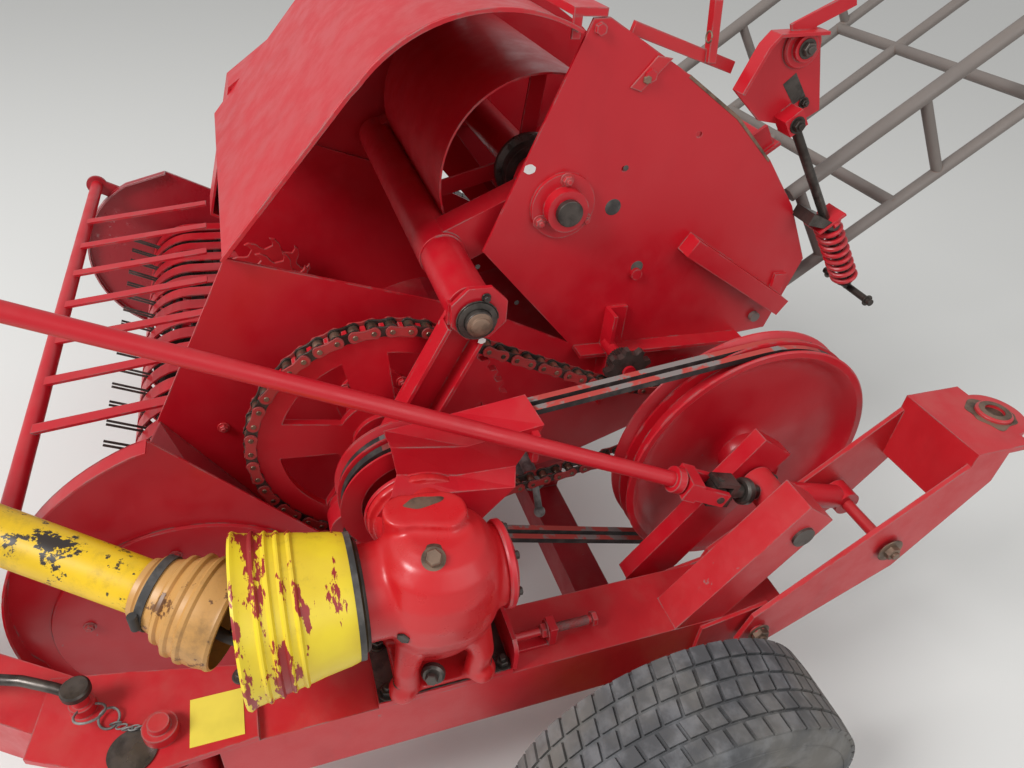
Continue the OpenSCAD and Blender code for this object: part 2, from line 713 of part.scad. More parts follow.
/* Connecting rod: an open channel between two eyes */
module connecting_rod() {
    head = [cross_y, cross_z];
    pin = [pin_y, pin_z];
    u = (head - pin) / norm(head - pin);
    color(red) difference() {
        union() {
            flat(rod_x0, rod_x0 + 10, pin, head, 86);
            translate([rod_x0, 0, 0]) for (s = [-1, 1])
                flat(0, rod_x1 - rod_x0 - 1, pin + s * 40 * [-u[1], u[0]] + 25 * u, head + s * 40 * [-u[1], u[0]] - 24 * u, 8);
            translate([rod_x0, cross_y, cross_z]) rotate([0, 90, 0]) cylinder(h = rod_x1 - rod_x0, r = 62, $fn = 8);
            xcyl(rod_x0, rod_x1, pin_y, pin_z, 46);
        }
        xcyl(rod_x0 - 1, rod_x1 + 1, cross_y, cross_z, 24.05);
        xcyl(rod_x0 - 1, rod_x1 + 1, pin_y, pin_z, 22);
    }
    color(steel) {
        xcyl(rod_x0 + 1, rod_x1 + 8, pin_y, pin_z, 22);
    }
}

/* Pickup: frame, end sheets, bands, reel and wind guard */
module pickup_frame() {
    py = pickup_pivot[0];
    pz = pickup_pivot[1];
    color(dark_red) {
        // Cross tube, which is the pickup's pivot, with the arms to the end sheets
        xcyl(dish_right_x, dish_left_x, py, pz, 18);
        for (x = [dish_left_x - 10, dish_right_x + 2]) difference() {
            flat(x, x + 8, [py + 12, pz], [reel_y - 20, reel_z], 64);
            xcyl(x - 1, x + 9, reel_y, reel_z, 22);
        }
    }
    color(red) {
        // Brackets of the wind guard
        for (x = [dish_left_x - 10, dish_right_x - 15]) difference() {
            union() {
                flat(x, x + 10, [-620, 580], [guard_y, guard_z], 44);
                xcyl(x, x + 10, guard_y, guard_z, 30);
            }
            xcyl(x - 1, x + 11, guard_y, guard_z, 17.05);
        }
    }
}

function dish_outline(c, r, tip, cut) = concat([tip], arc(c, r, 117, 117 + 240, 40), cut);

module end_sheet(x0, x1, rim0, rim1, c, r, tip, cut) {
    outline = dish_outline(c, r, tip, cut);
    difference() {
        plate_yz(x0, x1, outline);
        xcyl(x0 - 1, x1 + 1, reel_y, reel_z, 20.05);
    }
    plate_yz(rim0, rim1, strip(dish_outline(c, r, tip, []), 5));
}

module dish_left() {
    color(red) {
        end_sheet(dish_left_x, dish_left_x + 5, dish_left_x, dish_left_x + 34,
            [-440, 400], 340, [-491, 829], []);
        difference() {
            xcyl(dish_left_x + 4, dish_left_x + 18, reel_y, reel_z, 225);
            xcyl(dish_left_x + 3, dish_left_x + 12, reel_y, reel_z, 30);
        }
        for (a = [0:60:300]) bolt_x(dish_left_x + 18, reel_y + 170 * cos(a), reel_z + 170 * sin(a), 11);
    }
}
module dish_right() {
    color(red) {
        end_sheet(dish_right_x - 5, dish_right_x, dish_right_x - 5, dish_right_x + 20,
            [-527, 388], 300, [-540, 690], [[-386, 610]]);
    }
}

band_count = 18;
band_x0 = dish_right_x + 20;
band_pitch = (265 - band_x0) / band_count;
module stripper_bands() {
    // Ends of a band behind the reel, both clear of the tines
    tail = [203, 134];
    foot = 194;
    radial = [cos(290), sin(290)];
    along = [-radial[1], radial[0]];
    color(red) for (i = [0:band_count - 1])
        translate([band_x0 + i * band_pitch, reel_y, reel_z]) rotate([90, 0, 90])
            linear_extrude(band_pitch - 26) polygon(concat(
                [tail], arc([0, 0], band_r, 90, 290, 20), [band_r * radial + foot * along],
                [(band_r - 4) * radial + foot * along], arc([0, 0], band_r - 4, 290, 90, 20), [tail - [0, 4]]
            ));
    color(dark_red) {
        // Bars that carry the bands at their two ends
        translate([dish_right_x, reel_y, reel_z]) rotate([290, 0, 0])
            translate([0, band_r - 12, foot - 8]) cube([dish_left_x - dish_right_x, 14, 8]);
        translate([dish_right_x, reel_y, reel_z])
            translate([0, tail[0] - 14, tail[1] - 16]) cube([265 - dish_right_x, 14, 14]);
    }
}

module pickup_reel() {
    bar_r = 100;
    color(dark) {
        xcyl(dish_right_x - 4, dish_left_x + 6, reel_y, reel_z, 20);
        for (x = [band_x0 + 8, -400, 250]) xcyl(x, x + 6, reel_y, reel_z, 114);
        for (k = [0:3]) {
            a = 45 + 90 * k;
            xcyl(band_x0 + 8, 256, reel_y + bar_r * cos(a), reel_z + bar_r * sin(a), 11);
            for (i = [1:band_count - 1], s = [-7, 7]) {
                x = band_x0 + i * band_pitch - 13 + s;
                bar([x, reel_y + bar_r * cos(a), reel_z + bar_r * sin(a)],
                    [x, reel_y + tine_r * cos(a + 10), reel_z + tine_r * sin(a + 10)], 3);
            }
        }
    }
}

module wind_guard() {
    pitch = 158;
    color(red) {
        xcyl(dish_right_x - 15, dish_left_x - 0.5, guard_y, guard_z, 17);
        for (i = [0:guard_bars - 1]) {
            x = -781 + i * pitch;
            flat(x - 14, x + 14, [guard_y, guard_z + 12], [-415, 700], 6);
        }
    }
}

/* Feeder rotor with toothed plates in the throat */
module feeder_rotor() {
    y = feeder[0];
    z = feeder[1];
    n = 9;
    color(dark_red) {
        xcyl(chamber_r + 8, chamber_l - 8, y, z, 34);
        for (i = [0:n - 1])
            translate([chamber_r + 50 + i * (chamber_l - chamber_r - 100) / (n - 1) - 3, y, z]) rotate([90, 0, 90])
                rotate(i * 22) linear_extrude(6) polygon(sprocket(10, 92, 22));
    }
    color(steel) {
        xcyl(side_right_x - 8, side_left_x + 8, y, z, 20);
    }
}

/* Density plate and its spring */
module density_plate() {
    l = chamber_l - 10;
    r = chamber_r + 10;
    u = [cos(36), sin(36)];
    v = [-u[1], u[0]];
    h = density_hinge;
    color(red) {
        xcyl(r, l, h[0], h[1], 20);
        flat(r + 50, l - 50, h, h + 400 * u, 8);
        for (x = [r + 60, (l + r) / 2, l - 68]) flat(x, x + 8, h + 25 * v, h + 390 * u + 25 * v, 50);
    }
    color(steel) xcyl(side_right_x - 10, side_left_x + 10, h[0], h[1], 12);
}
module density_spring() {
    p = [710, 1251];
    q = [985, 900];
    l = norm(q - p);
    u = (q - p) / l;
    x = side_left_x + 30;
    color(red) {
        // Bracket plate with its hole and pivot bolt
        difference() {
            plate_yz(side_left_x, side_left_x + 34, [
                [480, 1300], [552, 1423], [719, 1425], [745, 1330], [715, 1235], [596, 1250]
            ]);
            plate_yz(side_left_x + 6, side_left_x + 35, [
                [480, 1290], [545, 1417], [712, 1419], [760, 1330], [720, 1200], [590, 1200]
            ]);
            xcyl(side_left_x - 1, side_left_x + 9, 690, 1306, 12);
        }
        xcyl(side_left_x + 5, side_left_x + 24, 679, 1390, 20);
        // Bracket that the spring presses on
        flat(side_left_x, x + 26, p + 0.42 * l * u, p + 0.44 * l * u, 70);
        flat(x - 20, x + 20, p + 0.86 * l * u, p + 0.875 * l * u, 60);
        plate_yz(side_left_x, side_left_x + 8, [[700, 1140], [860, 1060], [862, 940], [760, 960]]);
        coil = 0.42 * l / 9;
        for (i = [0:8]) translate([x, p[0] + (0.46 * l + coil * (i + 0.2)) * u[0], p[1] + (0.46 * l + coil * (i + 0.2)) * u[1]])
            rotate([atan2(u[1], u[0]) - 90, 0, 0]) rotate_extrude($fn = 32) translate([24, 0]) circle(r = 6, $fn = 10);
    }
    color(dark) {
        bar([x, p[0], p[1]], [x, q[0], q[1]], 10);
        xcyl(x - 80, x + 80, q[0], q[1], 8);
        // Core that the coil sits on
        bar([x, p[0] + 0.44 * l * u[0], p[1] + 0.44 * l * u[1]], [x, p[0] + 0.86 * l * u[0], p[1] + 0.86 * l * u[1]], 19);
    }
    color(red) flat(side_left_x + 2, x + 12, p - 20 * u, p + 14 * u, 40);
}

/* Tubular bale chute behind the outlet */
module bale_chute() {
    p = chute_hinge;
    d = [cos(chute_slope), sin(chute_slope)];
    n = [-d[1], d[0]];
    l = (rear_y - 14 - p[0]) / d[0];
    rails = [chamber_l - 25, chamber_l - 260, chamber_r + 260, chamber_r + 25];
    color(red) {
        xcyl(chamber_r + 8, chamber_l - 8, p[0], p[1], 18);
        for (x = rails) bar([x, p[0], p[1]], [x, p[0] + l * d[0], p[1] + l * d[1]], 14);
        for (s = [0.35, 0.68, 1]) xcyl(chamber_r + 20, chamber_l - 20, p[0] + s * l * d[0], p[1] + s * l * d[1], 14);
        for (x = [chamber_l - 25, chamber_r + 25]) {
            a = p + 0.16 * l * d;
            b = p + 0.97 * l * d + 210 * n;
            bar([x, a[0], a[1]] + [0, 210 * n[0], 210 * n[1]], [x, b[0], b[1]], 16);
            for (s = [0.18, 0.45, 0.7, 0.95]) {
                q = p + s * l * d;
                bar([x, q[0], q[1]], [x, q[0] + 210 * n[0], q[1] + 210 * n[1]], 12);
            }
        }
    }
    color(steel) xcyl(side_right_x - 10, side_left_x + 10, p[0], p[1], 12);
}

/* Rear hitch for a wagon: arm and adjusting screw */
module hitch_arm() {
    xa = beam_x0 - 24;
    xb = beam_x1 + 24;
    color(red) {
        for (x = [xa, xb - 10]) plate_yz(x, x + 10, [
            [500, 430], [520, 500], [740, 690], [900, 830], [960, 840], [960, 760], [820, 560], [580, 410]
        ]);
        box([xa, xb], [880, 900], [700, 835]);
        difference() {
            union() {
                box([xa, xb], [880, 1010], [830, 842]);
                zcyl(beam_mid, 1010, 830, 842, 60);
                box([beam_x0 + 10, beam_x1 - 10], [890, 1010], [730, 742]);
                zcyl(beam_mid, 1010, 730, 742, 50);
            }
            zcyl(beam_mid, 1010, 700, 860, 18);
        }
    }
    color(steel) {
        xcyl(xa - 10, xb + 10, hitch_pivot[0], hitch_pivot[1], 15);
        xcyl(xa - 6, xb + 6, hitch_pin[0], hitch_pin[1], 12);
    }
}
screw_u = (hitch_pin - screw_p) / norm(hitch_pin - screw_p);
module along_screw(a, b, r) {
    p = screw_p + a * screw_u;
    q = screw_p + b * screw_u;
    bar([screw_x, p[0], p[1]], [screw_x, q[0], q[1]], r);
}
module hitch_screw() {
    color(red) xcyl(661, 735, screw_p[0], screw_p[1], 32);
    color(steel) {
        xcyl(620, beam_x1 + 4, screw_p[0], screw_p[1], 22);
        along_screw(-100, 0, 14);
        along_screw(0, 150, 12);
    }
    // Fork of the universal joint
    color(red) screw_frame() difference() {
        union() {
            translate([-17, -36, -27]) cube([34, 12, 54]);
            for (z = [-27, 19]) translate([-17, -26, z]) cube([34, 42, 8]);
        }
        translate([0, 0, -30]) cylinder(h = 60, r = 7.05, $fn = 48);
    }
}
// Tube that the screw runs in, with its eye on the arm's pin
module hitch_tube() {
    l = norm(hitch_pin - screw_p);
    color(red) {
        difference() {
            union() {
                along_screw(62, l - 20, 24);
                xcyl(screw_x - 22, screw_x + 22, hitch_pin[0], hitch_pin[1], 27);
            }
            along_screw(55, 182, 17.5);
            xcyl(screw_x - 30, screw_x + 30, hitch_pin[0], hitch_pin[1], 12.05);
        }
    }
}

/* Long control rod that turns the hitch screw, with its universal joint */
rod_back = 133;
rod_rear = [screw_x, screw_p[0] - rod_back * screw_u[0], screw_p[1] - rod_back * screw_u[1]];
rod_yaw = 7.7;
rod_rise = 21.9;
rod_length = 1760;
// Places its children at the joint, with y along the screw toward its front
module screw_frame() {
    translate(rod_rear) rotate([atan2(screw_u[1], screw_u[0]) + 180, 0, 0]) children();
}
// Places its children at the joint, with x across and -y along the rod toward its front
module rod_frame() {
    translate(rod_rear) rotate([0, 0, -rod_yaw]) rotate([-rod_rise, 0, 0]) children();
}
module rod_cross() {
    color(steel) {
        translate(rod_rear) rotate([0, 0, -rod_yaw]) {
            rotate([-rod_rise, 0, 0]) translate([-15, -13, -13]) cube([30, 26, 26]);
            rotate([0, 90, 0]) translate([0, 0, -30]) cylinder(h = 60, r = 7, $fn = 48);
        }
        screw_frame() translate([0, 0, -29]) cylinder(h = 58, r = 7, $fn = 48);
    }
}
module rod_joint() {
    color(red) rod_frame() difference() {
        union() {
            for (x = [-28, 18]) translate([x, -50, -15]) cube([10, 64, 30]);
            translate([-28, -76, -20]) cube([56, 28, 40]);
        }
        rotate([0, 90, 0]) translate([0, 0, -40]) cylinder(h = 80, r = 7.05, $fn = 48);
        translate([0, -40, 0]) rotate([90, 0, 0]) cylinder(h = 60, r = 14.05, $fn = 48);
    }
}
module control_rod() {
    color(red) rod_frame() {
        translate([0, -50, 0]) rotate([90, 0, 0]) cylinder(h = rod_length - 50, r = 14, $fn = 48);
        translate([0, -82, 0]) rotate([90, 0, 0]) cylinder(h = 16, r = 24, $fn = 48);
        translate([-8, -rod_length, 0]) cube([16, 24, 170]);
        translate([0, -rod_length + 12, 158]) rotate([90, 0, 0]) cylinder(h = 100, r = 13, $fn = 32);
    }
}

/* Drive shaft with its guards */
pto_joint = [gear_x, -280, gear_z];
pto_yaw = 27;
pto_rise = 11;
module pto_frame() {
    translate(pto_joint) rotate([0, 0, -pto_yaw]) rotate([90 - pto_rise, 0, 0]) children();
}
module pto_shaft() {
    guard_l = 1050;
    color(dark) zcyl(pto_joint[0], pto_joint[1], pto_joint[2] - 19, pto_joint[2] + 19, 15);
    color(amber) pto_frame() translate([0, 0, 175]) rotate_extrude($fn = 64) polygon([
        [75, 0], [79, 0], [77, 50], [70, 84], [68, 104], [54, 134], [52, 170], [36.5, 170], [36.5, 150],
        [50, 130], [64, 98], [66, 80], [73, 48]
    ]);
    color(yellow) pto_frame() difference() {
        translate([0, 0, 300]) cylinder(h = guard_l - 300, r = 37, $fn = 48);
        translate([0, 0, 299]) cylinder(h = guard_l, r = 30, $fn = 48);
    }
    color(dark) pto_frame() {
        translate([0, 0, 20]) cylinder(h = guard_l + 60, r = 20, $fn = 48);
        for (z = [320, guard_l - 30]) translate([0, 0, z]) cylinder(h = 14, r = 30.5, $fn = 48);
        translate([0, 0, 22]) cylinder(h = 90, r = 30, $fn = 48);
        translate([-18, 0, 0]) rotate([0, 90, 0]) cylinder(h = 36, r = 16, $fn = 48);
        for (s = [-1, 1]) translate([s * 20 - 6, -16, -6]) cube([12, 32, 36]);
        difference() {
            translate([0, 0, guard_l + 40]) cylinder(h = 120, r = 34, $fn = 48);
            translate([0, 0, guard_l + 80]) cylinder(h = 90, r = 17.5, $fn = 48);
        }
    }
}

/* Drawbar with its towing eye, the rests of the shaft and the rod, and the parking jack */
// Places its children at the drawbar's pivot, with -y along the drawbar toward its front
module draw_frame() {
    translate([draw_x, draw_y, 0]) rotate([0, 0, -draw_angle]) children();
}
draw_z0 = beam_top - beam_h + clear;
draw_z1 = beam_top - clear;
rod_rest_d = 1362;
pto_rest_d = 900;
rod_rest = [
    rod_rear[0] - rod_rest_d * sin(rod_yaw), rod_rear[1] - rod_rest_d * cos(rod_yaw),
    rod_rear[2] + rod_rest_d * tan(rod_rise)
];
pto_rest = [
    pto_joint[0] - pto_rest_d * sin(pto_yaw), pto_joint[1] - pto_rest_d * cos(pto_yaw),
    pto_joint[2] + pto_rest_d * tan(pto_rise)
];
// Open fork under a bar of radius r that passes through p, sloping up toward its front
module fork(p, yaw, rise, r, half) {
    seat = -r / cos(rise) - 0.9 - 5 * tan(rise);
    translate(p) rotate([0, 0, -yaw]) {
        translate([-half - 8, -5, seat - 12]) cube([2 * half + 16, 10, 12]);
        for (s = [-1, 1]) translate([s * (half + 4) - 3, -4, seat - 6]) cube([6, 8, 2 * r + 36]);
    }
}
module drawbar() {
    posts = [
        [rod_rest + 30 * [cos(rod_yaw), -sin(rod_yaw), 0], 27, 11],
        [pto_rest + 45 * [cos(pto_yaw), -sin(pto_yaw), 0], 46, 13]
    ];
    color(red) {
        draw_frame() {
            difference() {
                union() {
                    box([-50, 50], [-draw_len + 100, -40], [draw_z0 + 5, draw_z1 - 5]);
                    zcyl(0, 0, draw_z0, draw_z1, 64);
                }
                zcyl(0, 0, draw_z0 - 1, draw_z1 + 1, 15.95);
                box([-42, 42], [-draw_len + 112, -120], [draw_z0 + 13, draw_z1 - 13]);
            }
            difference() {
                union() {
                    box([-35, 35], [-draw_len, -draw_len + 106], [405, 440]);
                    zcyl(0, -draw_len, 405, 440, 60);
                }
                zcyl(0, -draw_len, 400, 450, 26);
            }
        }
        for (p = posts) {
            zcyl(p[0][0], p[0][1], draw_z1 - 8, draw_z1 + 14, 22);
            zcyl(p[0][0], p[0][1], draw_z1 - 8, p[0][2] - p[1], p[2]);
        }
        fork(rod_rest, rod_yaw, rod_rise, 14, 34);
        fork(pto_rest, pto_yaw, pto_rise, 37, 60);
    }
    color(steel) zcyl(draw_x, draw_y, beam_top - beam_h - 30, beam_top + 44, 15.9);
    color(steel) zcyl(draw_x, draw_y, beam_top + 12.3, beam_top + 32, 26);
}
module parking_jack() {
    x = 50 + 34;
    y = 200 - draw_len;
    color(red) draw_frame() {
        difference() {
            zcyl(x, y, 250, 760, 30);
            zcyl(x, y, 249, 700, 25);
        }
        box([50, x - 20], [y - 30, y + 30], [380, 470]);
        xcyl(x, x + 130, y, 740, 9);
    }
    color(steel) draw_frame() {
        zcyl(x, y, 8, 705, 24.5);
        zcyl(x, y, 0, 10, 85);
    }
}

/* Blank plate beside the drawbar's pivot */
module blank_plates() {
    color(yellow) box([beam_x0 + 40, beam_x1 - 10], [-480, -400], [beam_top + 12, beam_top + 13]);
}

main_beam();
axle_beam();
gearbox();
pto_cone();
side_plate_left();
side_plate_right();
chamber_floor();
hood();
side_cover_right();
belt_cover();
shaft_supports();
chain_tensioner();
drive_belts();
roller_chain();
density_spring();
blank_plates();
tyre_left();
rim_left();
tyre_right();
rim_right();
swing_frame();
plunger_head();
connecting_rod();
crank_sprocket();
chain_idler();
large_pulley();
counter_sprocket();
small_pulley();
pickup_frame();
dish_left();
dish_right();
stripper_bands();
pickup_reel();
wind_guard();
feeder_rotor();
density_plate();
bale_chute();
hitch_arm();
hitch_screw();
hitch_tube();
rod_cross();
rod_joint();
control_rod();
pto_shaft();
drawbar();
parking_jack();
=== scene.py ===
"""Looks of the pickup baler: materials, fine pieces, light and camera. Metres, in the part's own frame."""
import math
import random

import bmesh
import bpy
from mathutils import Matrix, Vector


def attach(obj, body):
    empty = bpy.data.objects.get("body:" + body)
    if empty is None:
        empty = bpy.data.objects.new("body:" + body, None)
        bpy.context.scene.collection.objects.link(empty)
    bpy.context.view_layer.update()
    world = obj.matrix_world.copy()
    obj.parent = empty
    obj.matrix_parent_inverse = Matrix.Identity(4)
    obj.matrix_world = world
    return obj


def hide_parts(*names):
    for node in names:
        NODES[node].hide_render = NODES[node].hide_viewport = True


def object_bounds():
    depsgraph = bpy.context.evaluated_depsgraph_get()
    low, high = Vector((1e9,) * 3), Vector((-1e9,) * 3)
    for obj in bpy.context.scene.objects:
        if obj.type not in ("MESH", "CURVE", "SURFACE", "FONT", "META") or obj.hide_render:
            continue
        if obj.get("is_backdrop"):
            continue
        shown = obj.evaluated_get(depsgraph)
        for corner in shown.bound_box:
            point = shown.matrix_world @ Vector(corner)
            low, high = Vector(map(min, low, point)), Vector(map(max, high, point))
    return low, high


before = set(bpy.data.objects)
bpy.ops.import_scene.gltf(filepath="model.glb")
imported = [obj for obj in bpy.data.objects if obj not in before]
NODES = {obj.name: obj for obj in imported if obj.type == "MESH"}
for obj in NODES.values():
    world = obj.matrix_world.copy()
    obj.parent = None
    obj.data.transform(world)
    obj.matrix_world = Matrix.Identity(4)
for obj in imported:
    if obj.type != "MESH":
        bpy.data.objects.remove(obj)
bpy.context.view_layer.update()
scene = bpy.context.scene
RNG = random.Random(7)

# Camera fitted to the photograph
CAM_PLACE = (1.455, -0.278, 1.650)
CAM_RIGHT = (0.31940613, 0.94417459, 0.08070976)
CAM_DOWN = (0.58961921, -0.13133999, -0.79693099)
CAM_FORWARD = (-0.74184157, 0.30213266, -0.59865427)
SENSOR = 36.0
FOCAL_PX = 727.467
FRAME_PX = 1024

cam_data = bpy.data.cameras.new("camera")
cam_data.sensor_width = SENSOR
cam_data.lens = FOCAL_PX / FRAME_PX * SENSOR
cam_data.clip_start = 0.01
cam_data.clip_end = 100
cam = bpy.data.objects.new("camera", cam_data)
scene.collection.objects.link(cam)
cam_rows = [(x, -y, -z, at) for x, y, z, at in zip(CAM_RIGHT, CAM_DOWN, CAM_FORWARD, CAM_PLACE)]
cam.matrix_world = Matrix(cam_rows + [(0, 0, 0, 1)])
scene.camera = cam


# Material building blocks
class Shader:
    """A small wrapper that adds and links nodes of one material."""

    def __init__(self, name):
        self.mat = bpy.data.materials.new(name)
        self.mat.use_nodes = True
        self.tree = self.mat.node_tree
        self.bsdf = self.tree.nodes["Principled BSDF"]
        self.coord = self.add("ShaderNodeTexCoord").outputs["Object"]

    def add(self, kind, **values):
        node = self.tree.nodes.new(kind)
        for key, value in values.items():
            setattr(node, key, value)
        return node

    def link(self, a, b):
        self.tree.links.new(a, b)

    def noise(self, scale, detail=4.0, rough=0.6, stretch=None, seed=0.0):
        source = self.coord
        if stretch or seed:
            mapping = self.add("ShaderNodeMapping")
            if stretch:
                mapping.inputs["Scale"].default_value = stretch
            mapping.inputs["Location"].default_value = (seed, seed * 0.7, -seed)
            self.link(source, mapping.inputs["Vector"])
            source = mapping.outputs["Vector"]
        node = self.add("ShaderNodeTexNoise")
        node.inputs["Scale"].default_value = scale
        node.inputs["Detail"].default_value = detail
        node.inputs["Roughness"].default_value = rough
        self.link(source, node.inputs["Vector"])
        return node.outputs["Fac"]

    def ramp(self, fac, low, high, a=0.0, b=1.0):
        node = self.add("ShaderNodeMapRange", interpolation_type="SMOOTHSTEP")
        node.inputs["From Min"].default_value = low
        node.inputs["From Max"].default_value = high
        node.inputs["To Min"].default_value = a
        node.inputs["To Max"].default_value = b
        self.link(fac, node.inputs["Value"])
        return node.outputs["Result"]

    def math(self, op, a, b):
        node = self.add("ShaderNodeMath", operation=op, use_clamp=True)
        for i, v in enumerate((a, b)):
            if isinstance(v, (int, float)):
                node.inputs[i].default_value = v
            else:
                self.link(v, node.inputs[i])
        return node.outputs["Value"]

    def mix(self, fac, a, b):
        node = self.add("ShaderNodeMix", data_type="RGBA")
        if isinstance(fac, (int, float)):
            node.inputs[0].default_value = fac
        else:
            self.link(fac, node.inputs[0])
        for socket, v in ((node.inputs[6], a), (node.inputs[7], b)):
            if isinstance(v, tuple):
                socket.default_value = (*v, 1)
            else:
                self.link(v, socket)
        return node.outputs[2]

    def edge(self, radius=0.004):
        """1 on sharp outer edges, 0 on flats."""
        bevel = self.add("ShaderNodeBevel", samples=3)
        bevel.inputs["Radius"].default_value = radius
        geo = self.add("ShaderNodeNewGeometry")
        dot = self.add("ShaderNodeVectorMath", operation="DOT_PRODUCT")
        self.link(bevel.outputs["Normal"], dot.inputs[0])
        self.link(geo.outputs["Normal"], dot.inputs[1])
        return self.ramp(dot.outputs["Value"], 0.995, 0.86)

    def up(self):
        """1 where the surface looks up, -1 where it looks down."""
        geo = self.add("ShaderNodeNewGeometry")
        sep = self.add("ShaderNodeSeparateXYZ")
        self.link(geo.outputs["Normal"], sep.inputs["Vector"])
        return sep.outputs["Z"]

    def bump(self, height, strength=0.2, distance=0.002):
        node = self.add("ShaderNodeBump")
        node.inputs["Strength"].default_value = strength
        node.inputs["Distance"].default_value = distance
        self.link(height, node.inputs["Height"])
        self.link(node.outputs["Normal"], self.bsdf.inputs["Normal"])

    def done(self, color, rough, metal=0.0, spec=0.5):
        for socket, v in (("Base Color", color), ("Roughness", rough), ("Metallic", metal)):
            if isinstance(v, tuple):
                self.bsdf.inputs[socket].default_value = (*v, 1)
            elif isinstance(v, (int, float)):
                self.bsdf.inputs[socket].default_value = v
            else:
                self.link(v, self.bsdf.inputs[socket])
        self.bsdf.inputs["Specular IOR Level"].default_value = spec
        return self.mat


def paint(name, color, under=(0.19, 0.17, 0.16), wear=0.5, dirt=0.5, rough=0.34, seed=0.0):
    """Old gloss paint: cloudy tone, dust on top faces, bare edges and small chips."""
    s = Shader(name)
    dark = tuple(c * 0.62 for c in color)
    pale = tuple(min(1, c * 1.05 + 0.003) for c in color)
    cloud = s.ramp(s.noise(3.1, seed=seed), 0.35, 0.68)
    tone = s.mix(cloud, color, pale)
    streak = s.ramp(s.noise(9, stretch=(1, 1, 0.35), seed=seed + 3), 0.52, 0.75)
    tone = s.mix(s.math("MULTIPLY", streak, 0.30 * dirt), tone, dark)
    chips = s.ramp(s.noise(34, detail=6, rough=0.72, seed=seed + 5), 0.69 - 0.03 * wear, 0.72)
    patches = s.ramp(s.noise(2.3, seed=seed + 9), 0.5, 0.62)
    chips = s.math("MULTIPLY", chips, patches)
    edge = s.math("MULTIPLY", s.edge(), s.ramp(s.noise(22, detail=5, seed=seed + 2), 0.5 - 0.12 * wear, 0.62))
    bare = s.math("MAXIMUM", chips, edge)
    tone = s.mix(bare, tone, under)
    cover = s.ramp(s.noise(14, detail=6, seed=seed + 1), 0.4, 0.75)
    dust = s.math("MULTIPLY", s.ramp(s.up(), 0.2, 1.0), cover)
    tone = s.mix(s.math("MULTIPLY", dust, 0.13 * dirt), tone, (0.33, 0.25, 0.20))
    shine = s.math("ADD", s.ramp(s.noise(18, seed=seed + 4), 0.3, 0.7, rough - 0.05, rough + 0.12),
                   s.math("MULTIPLY", bare, 0.25))
    s.bump(s.math("ADD", s.noise(90, detail=3), s.math("MULTIPLY", bare, -0.6)), 0.12, 0.0012)
    return s.done(tone, shine, 0.0, 0.5)


def metal(name, color, rough=0.4, grime=0.5, metallic=0.85, seed=0.0):
    """Bare or greasy steel, clouded and with dark grime."""
    s = Shader(name)
    tone = s.mix(s.ramp(s.noise(26, detail=6, seed=seed), 0.42, 0.66), color, tuple(c * 0.42 for c in color))
    film = s.math("MULTIPLY", s.ramp(s.noise(7, seed=seed + 2), 0.45, 0.7), grime)
    tone = s.mix(film, tone, (0.035, 0.027, 0.022))
    s.bump(s.noise(120, detail=4), 0.2, 0.001)
    shine = s.ramp(s.noise(15, seed=seed + 1), 0.3, 0.7, rough - 0.08, rough + 0.2)
    return s.done(tone, shine, metallic, 0.5)


def rubber(name, color, dust=0.4, scale=30, rough=0.75):
    """Dull rubber with paler patches and dust."""
    s = Shader(name)
    pale = tuple(min(1, c * 1.9 + 0.01) for c in color)
    tone = s.mix(s.ramp(s.noise(scale, detail=6), 0.4, 0.7), color, pale)
    tone = s.mix(s.math("MULTIPLY", s.ramp(s.noise(5, detail=5), 0.42, 0.7), dust), tone, (0.22, 0.20, 0.17))
    s.bump(s.noise(160, detail=4), 0.15, 0.0008)
    return s.done(tone, rough, 0.0, 0.35)


def chipped(name, color, under, amount, seed=0.0, rough=0.45, stretch=(1, 1, 1), scale=30, speck=0.0):
    """Plastic or paint of one colour with flakes of another showing."""
    s = Shader(name)
    tone = s.mix(s.ramp(s.noise(6, seed=seed), 0.4, 0.7), color, tuple(c * 0.82 for c in color))
    height = s.noise(scale, detail=6, rough=0.7, stretch=stretch, seed=seed + 4)
    flakes = s.ramp(height, 0.62 - amount, 0.645 - amount)
    tone = s.mix(flakes, tone, under)
    if speck:
        grime = s.ramp(s.noise(12, detail=7, rough=0.75, seed=seed + 8), 0.5, 0.72)
        tone = s.mix(s.math("MULTIPLY", grime, speck), tone, (0.06, 0.045, 0.03))
    s.bump(flakes, 0.15, 0.001)
    return s.done(tone, rough, 0.0, 0.45)


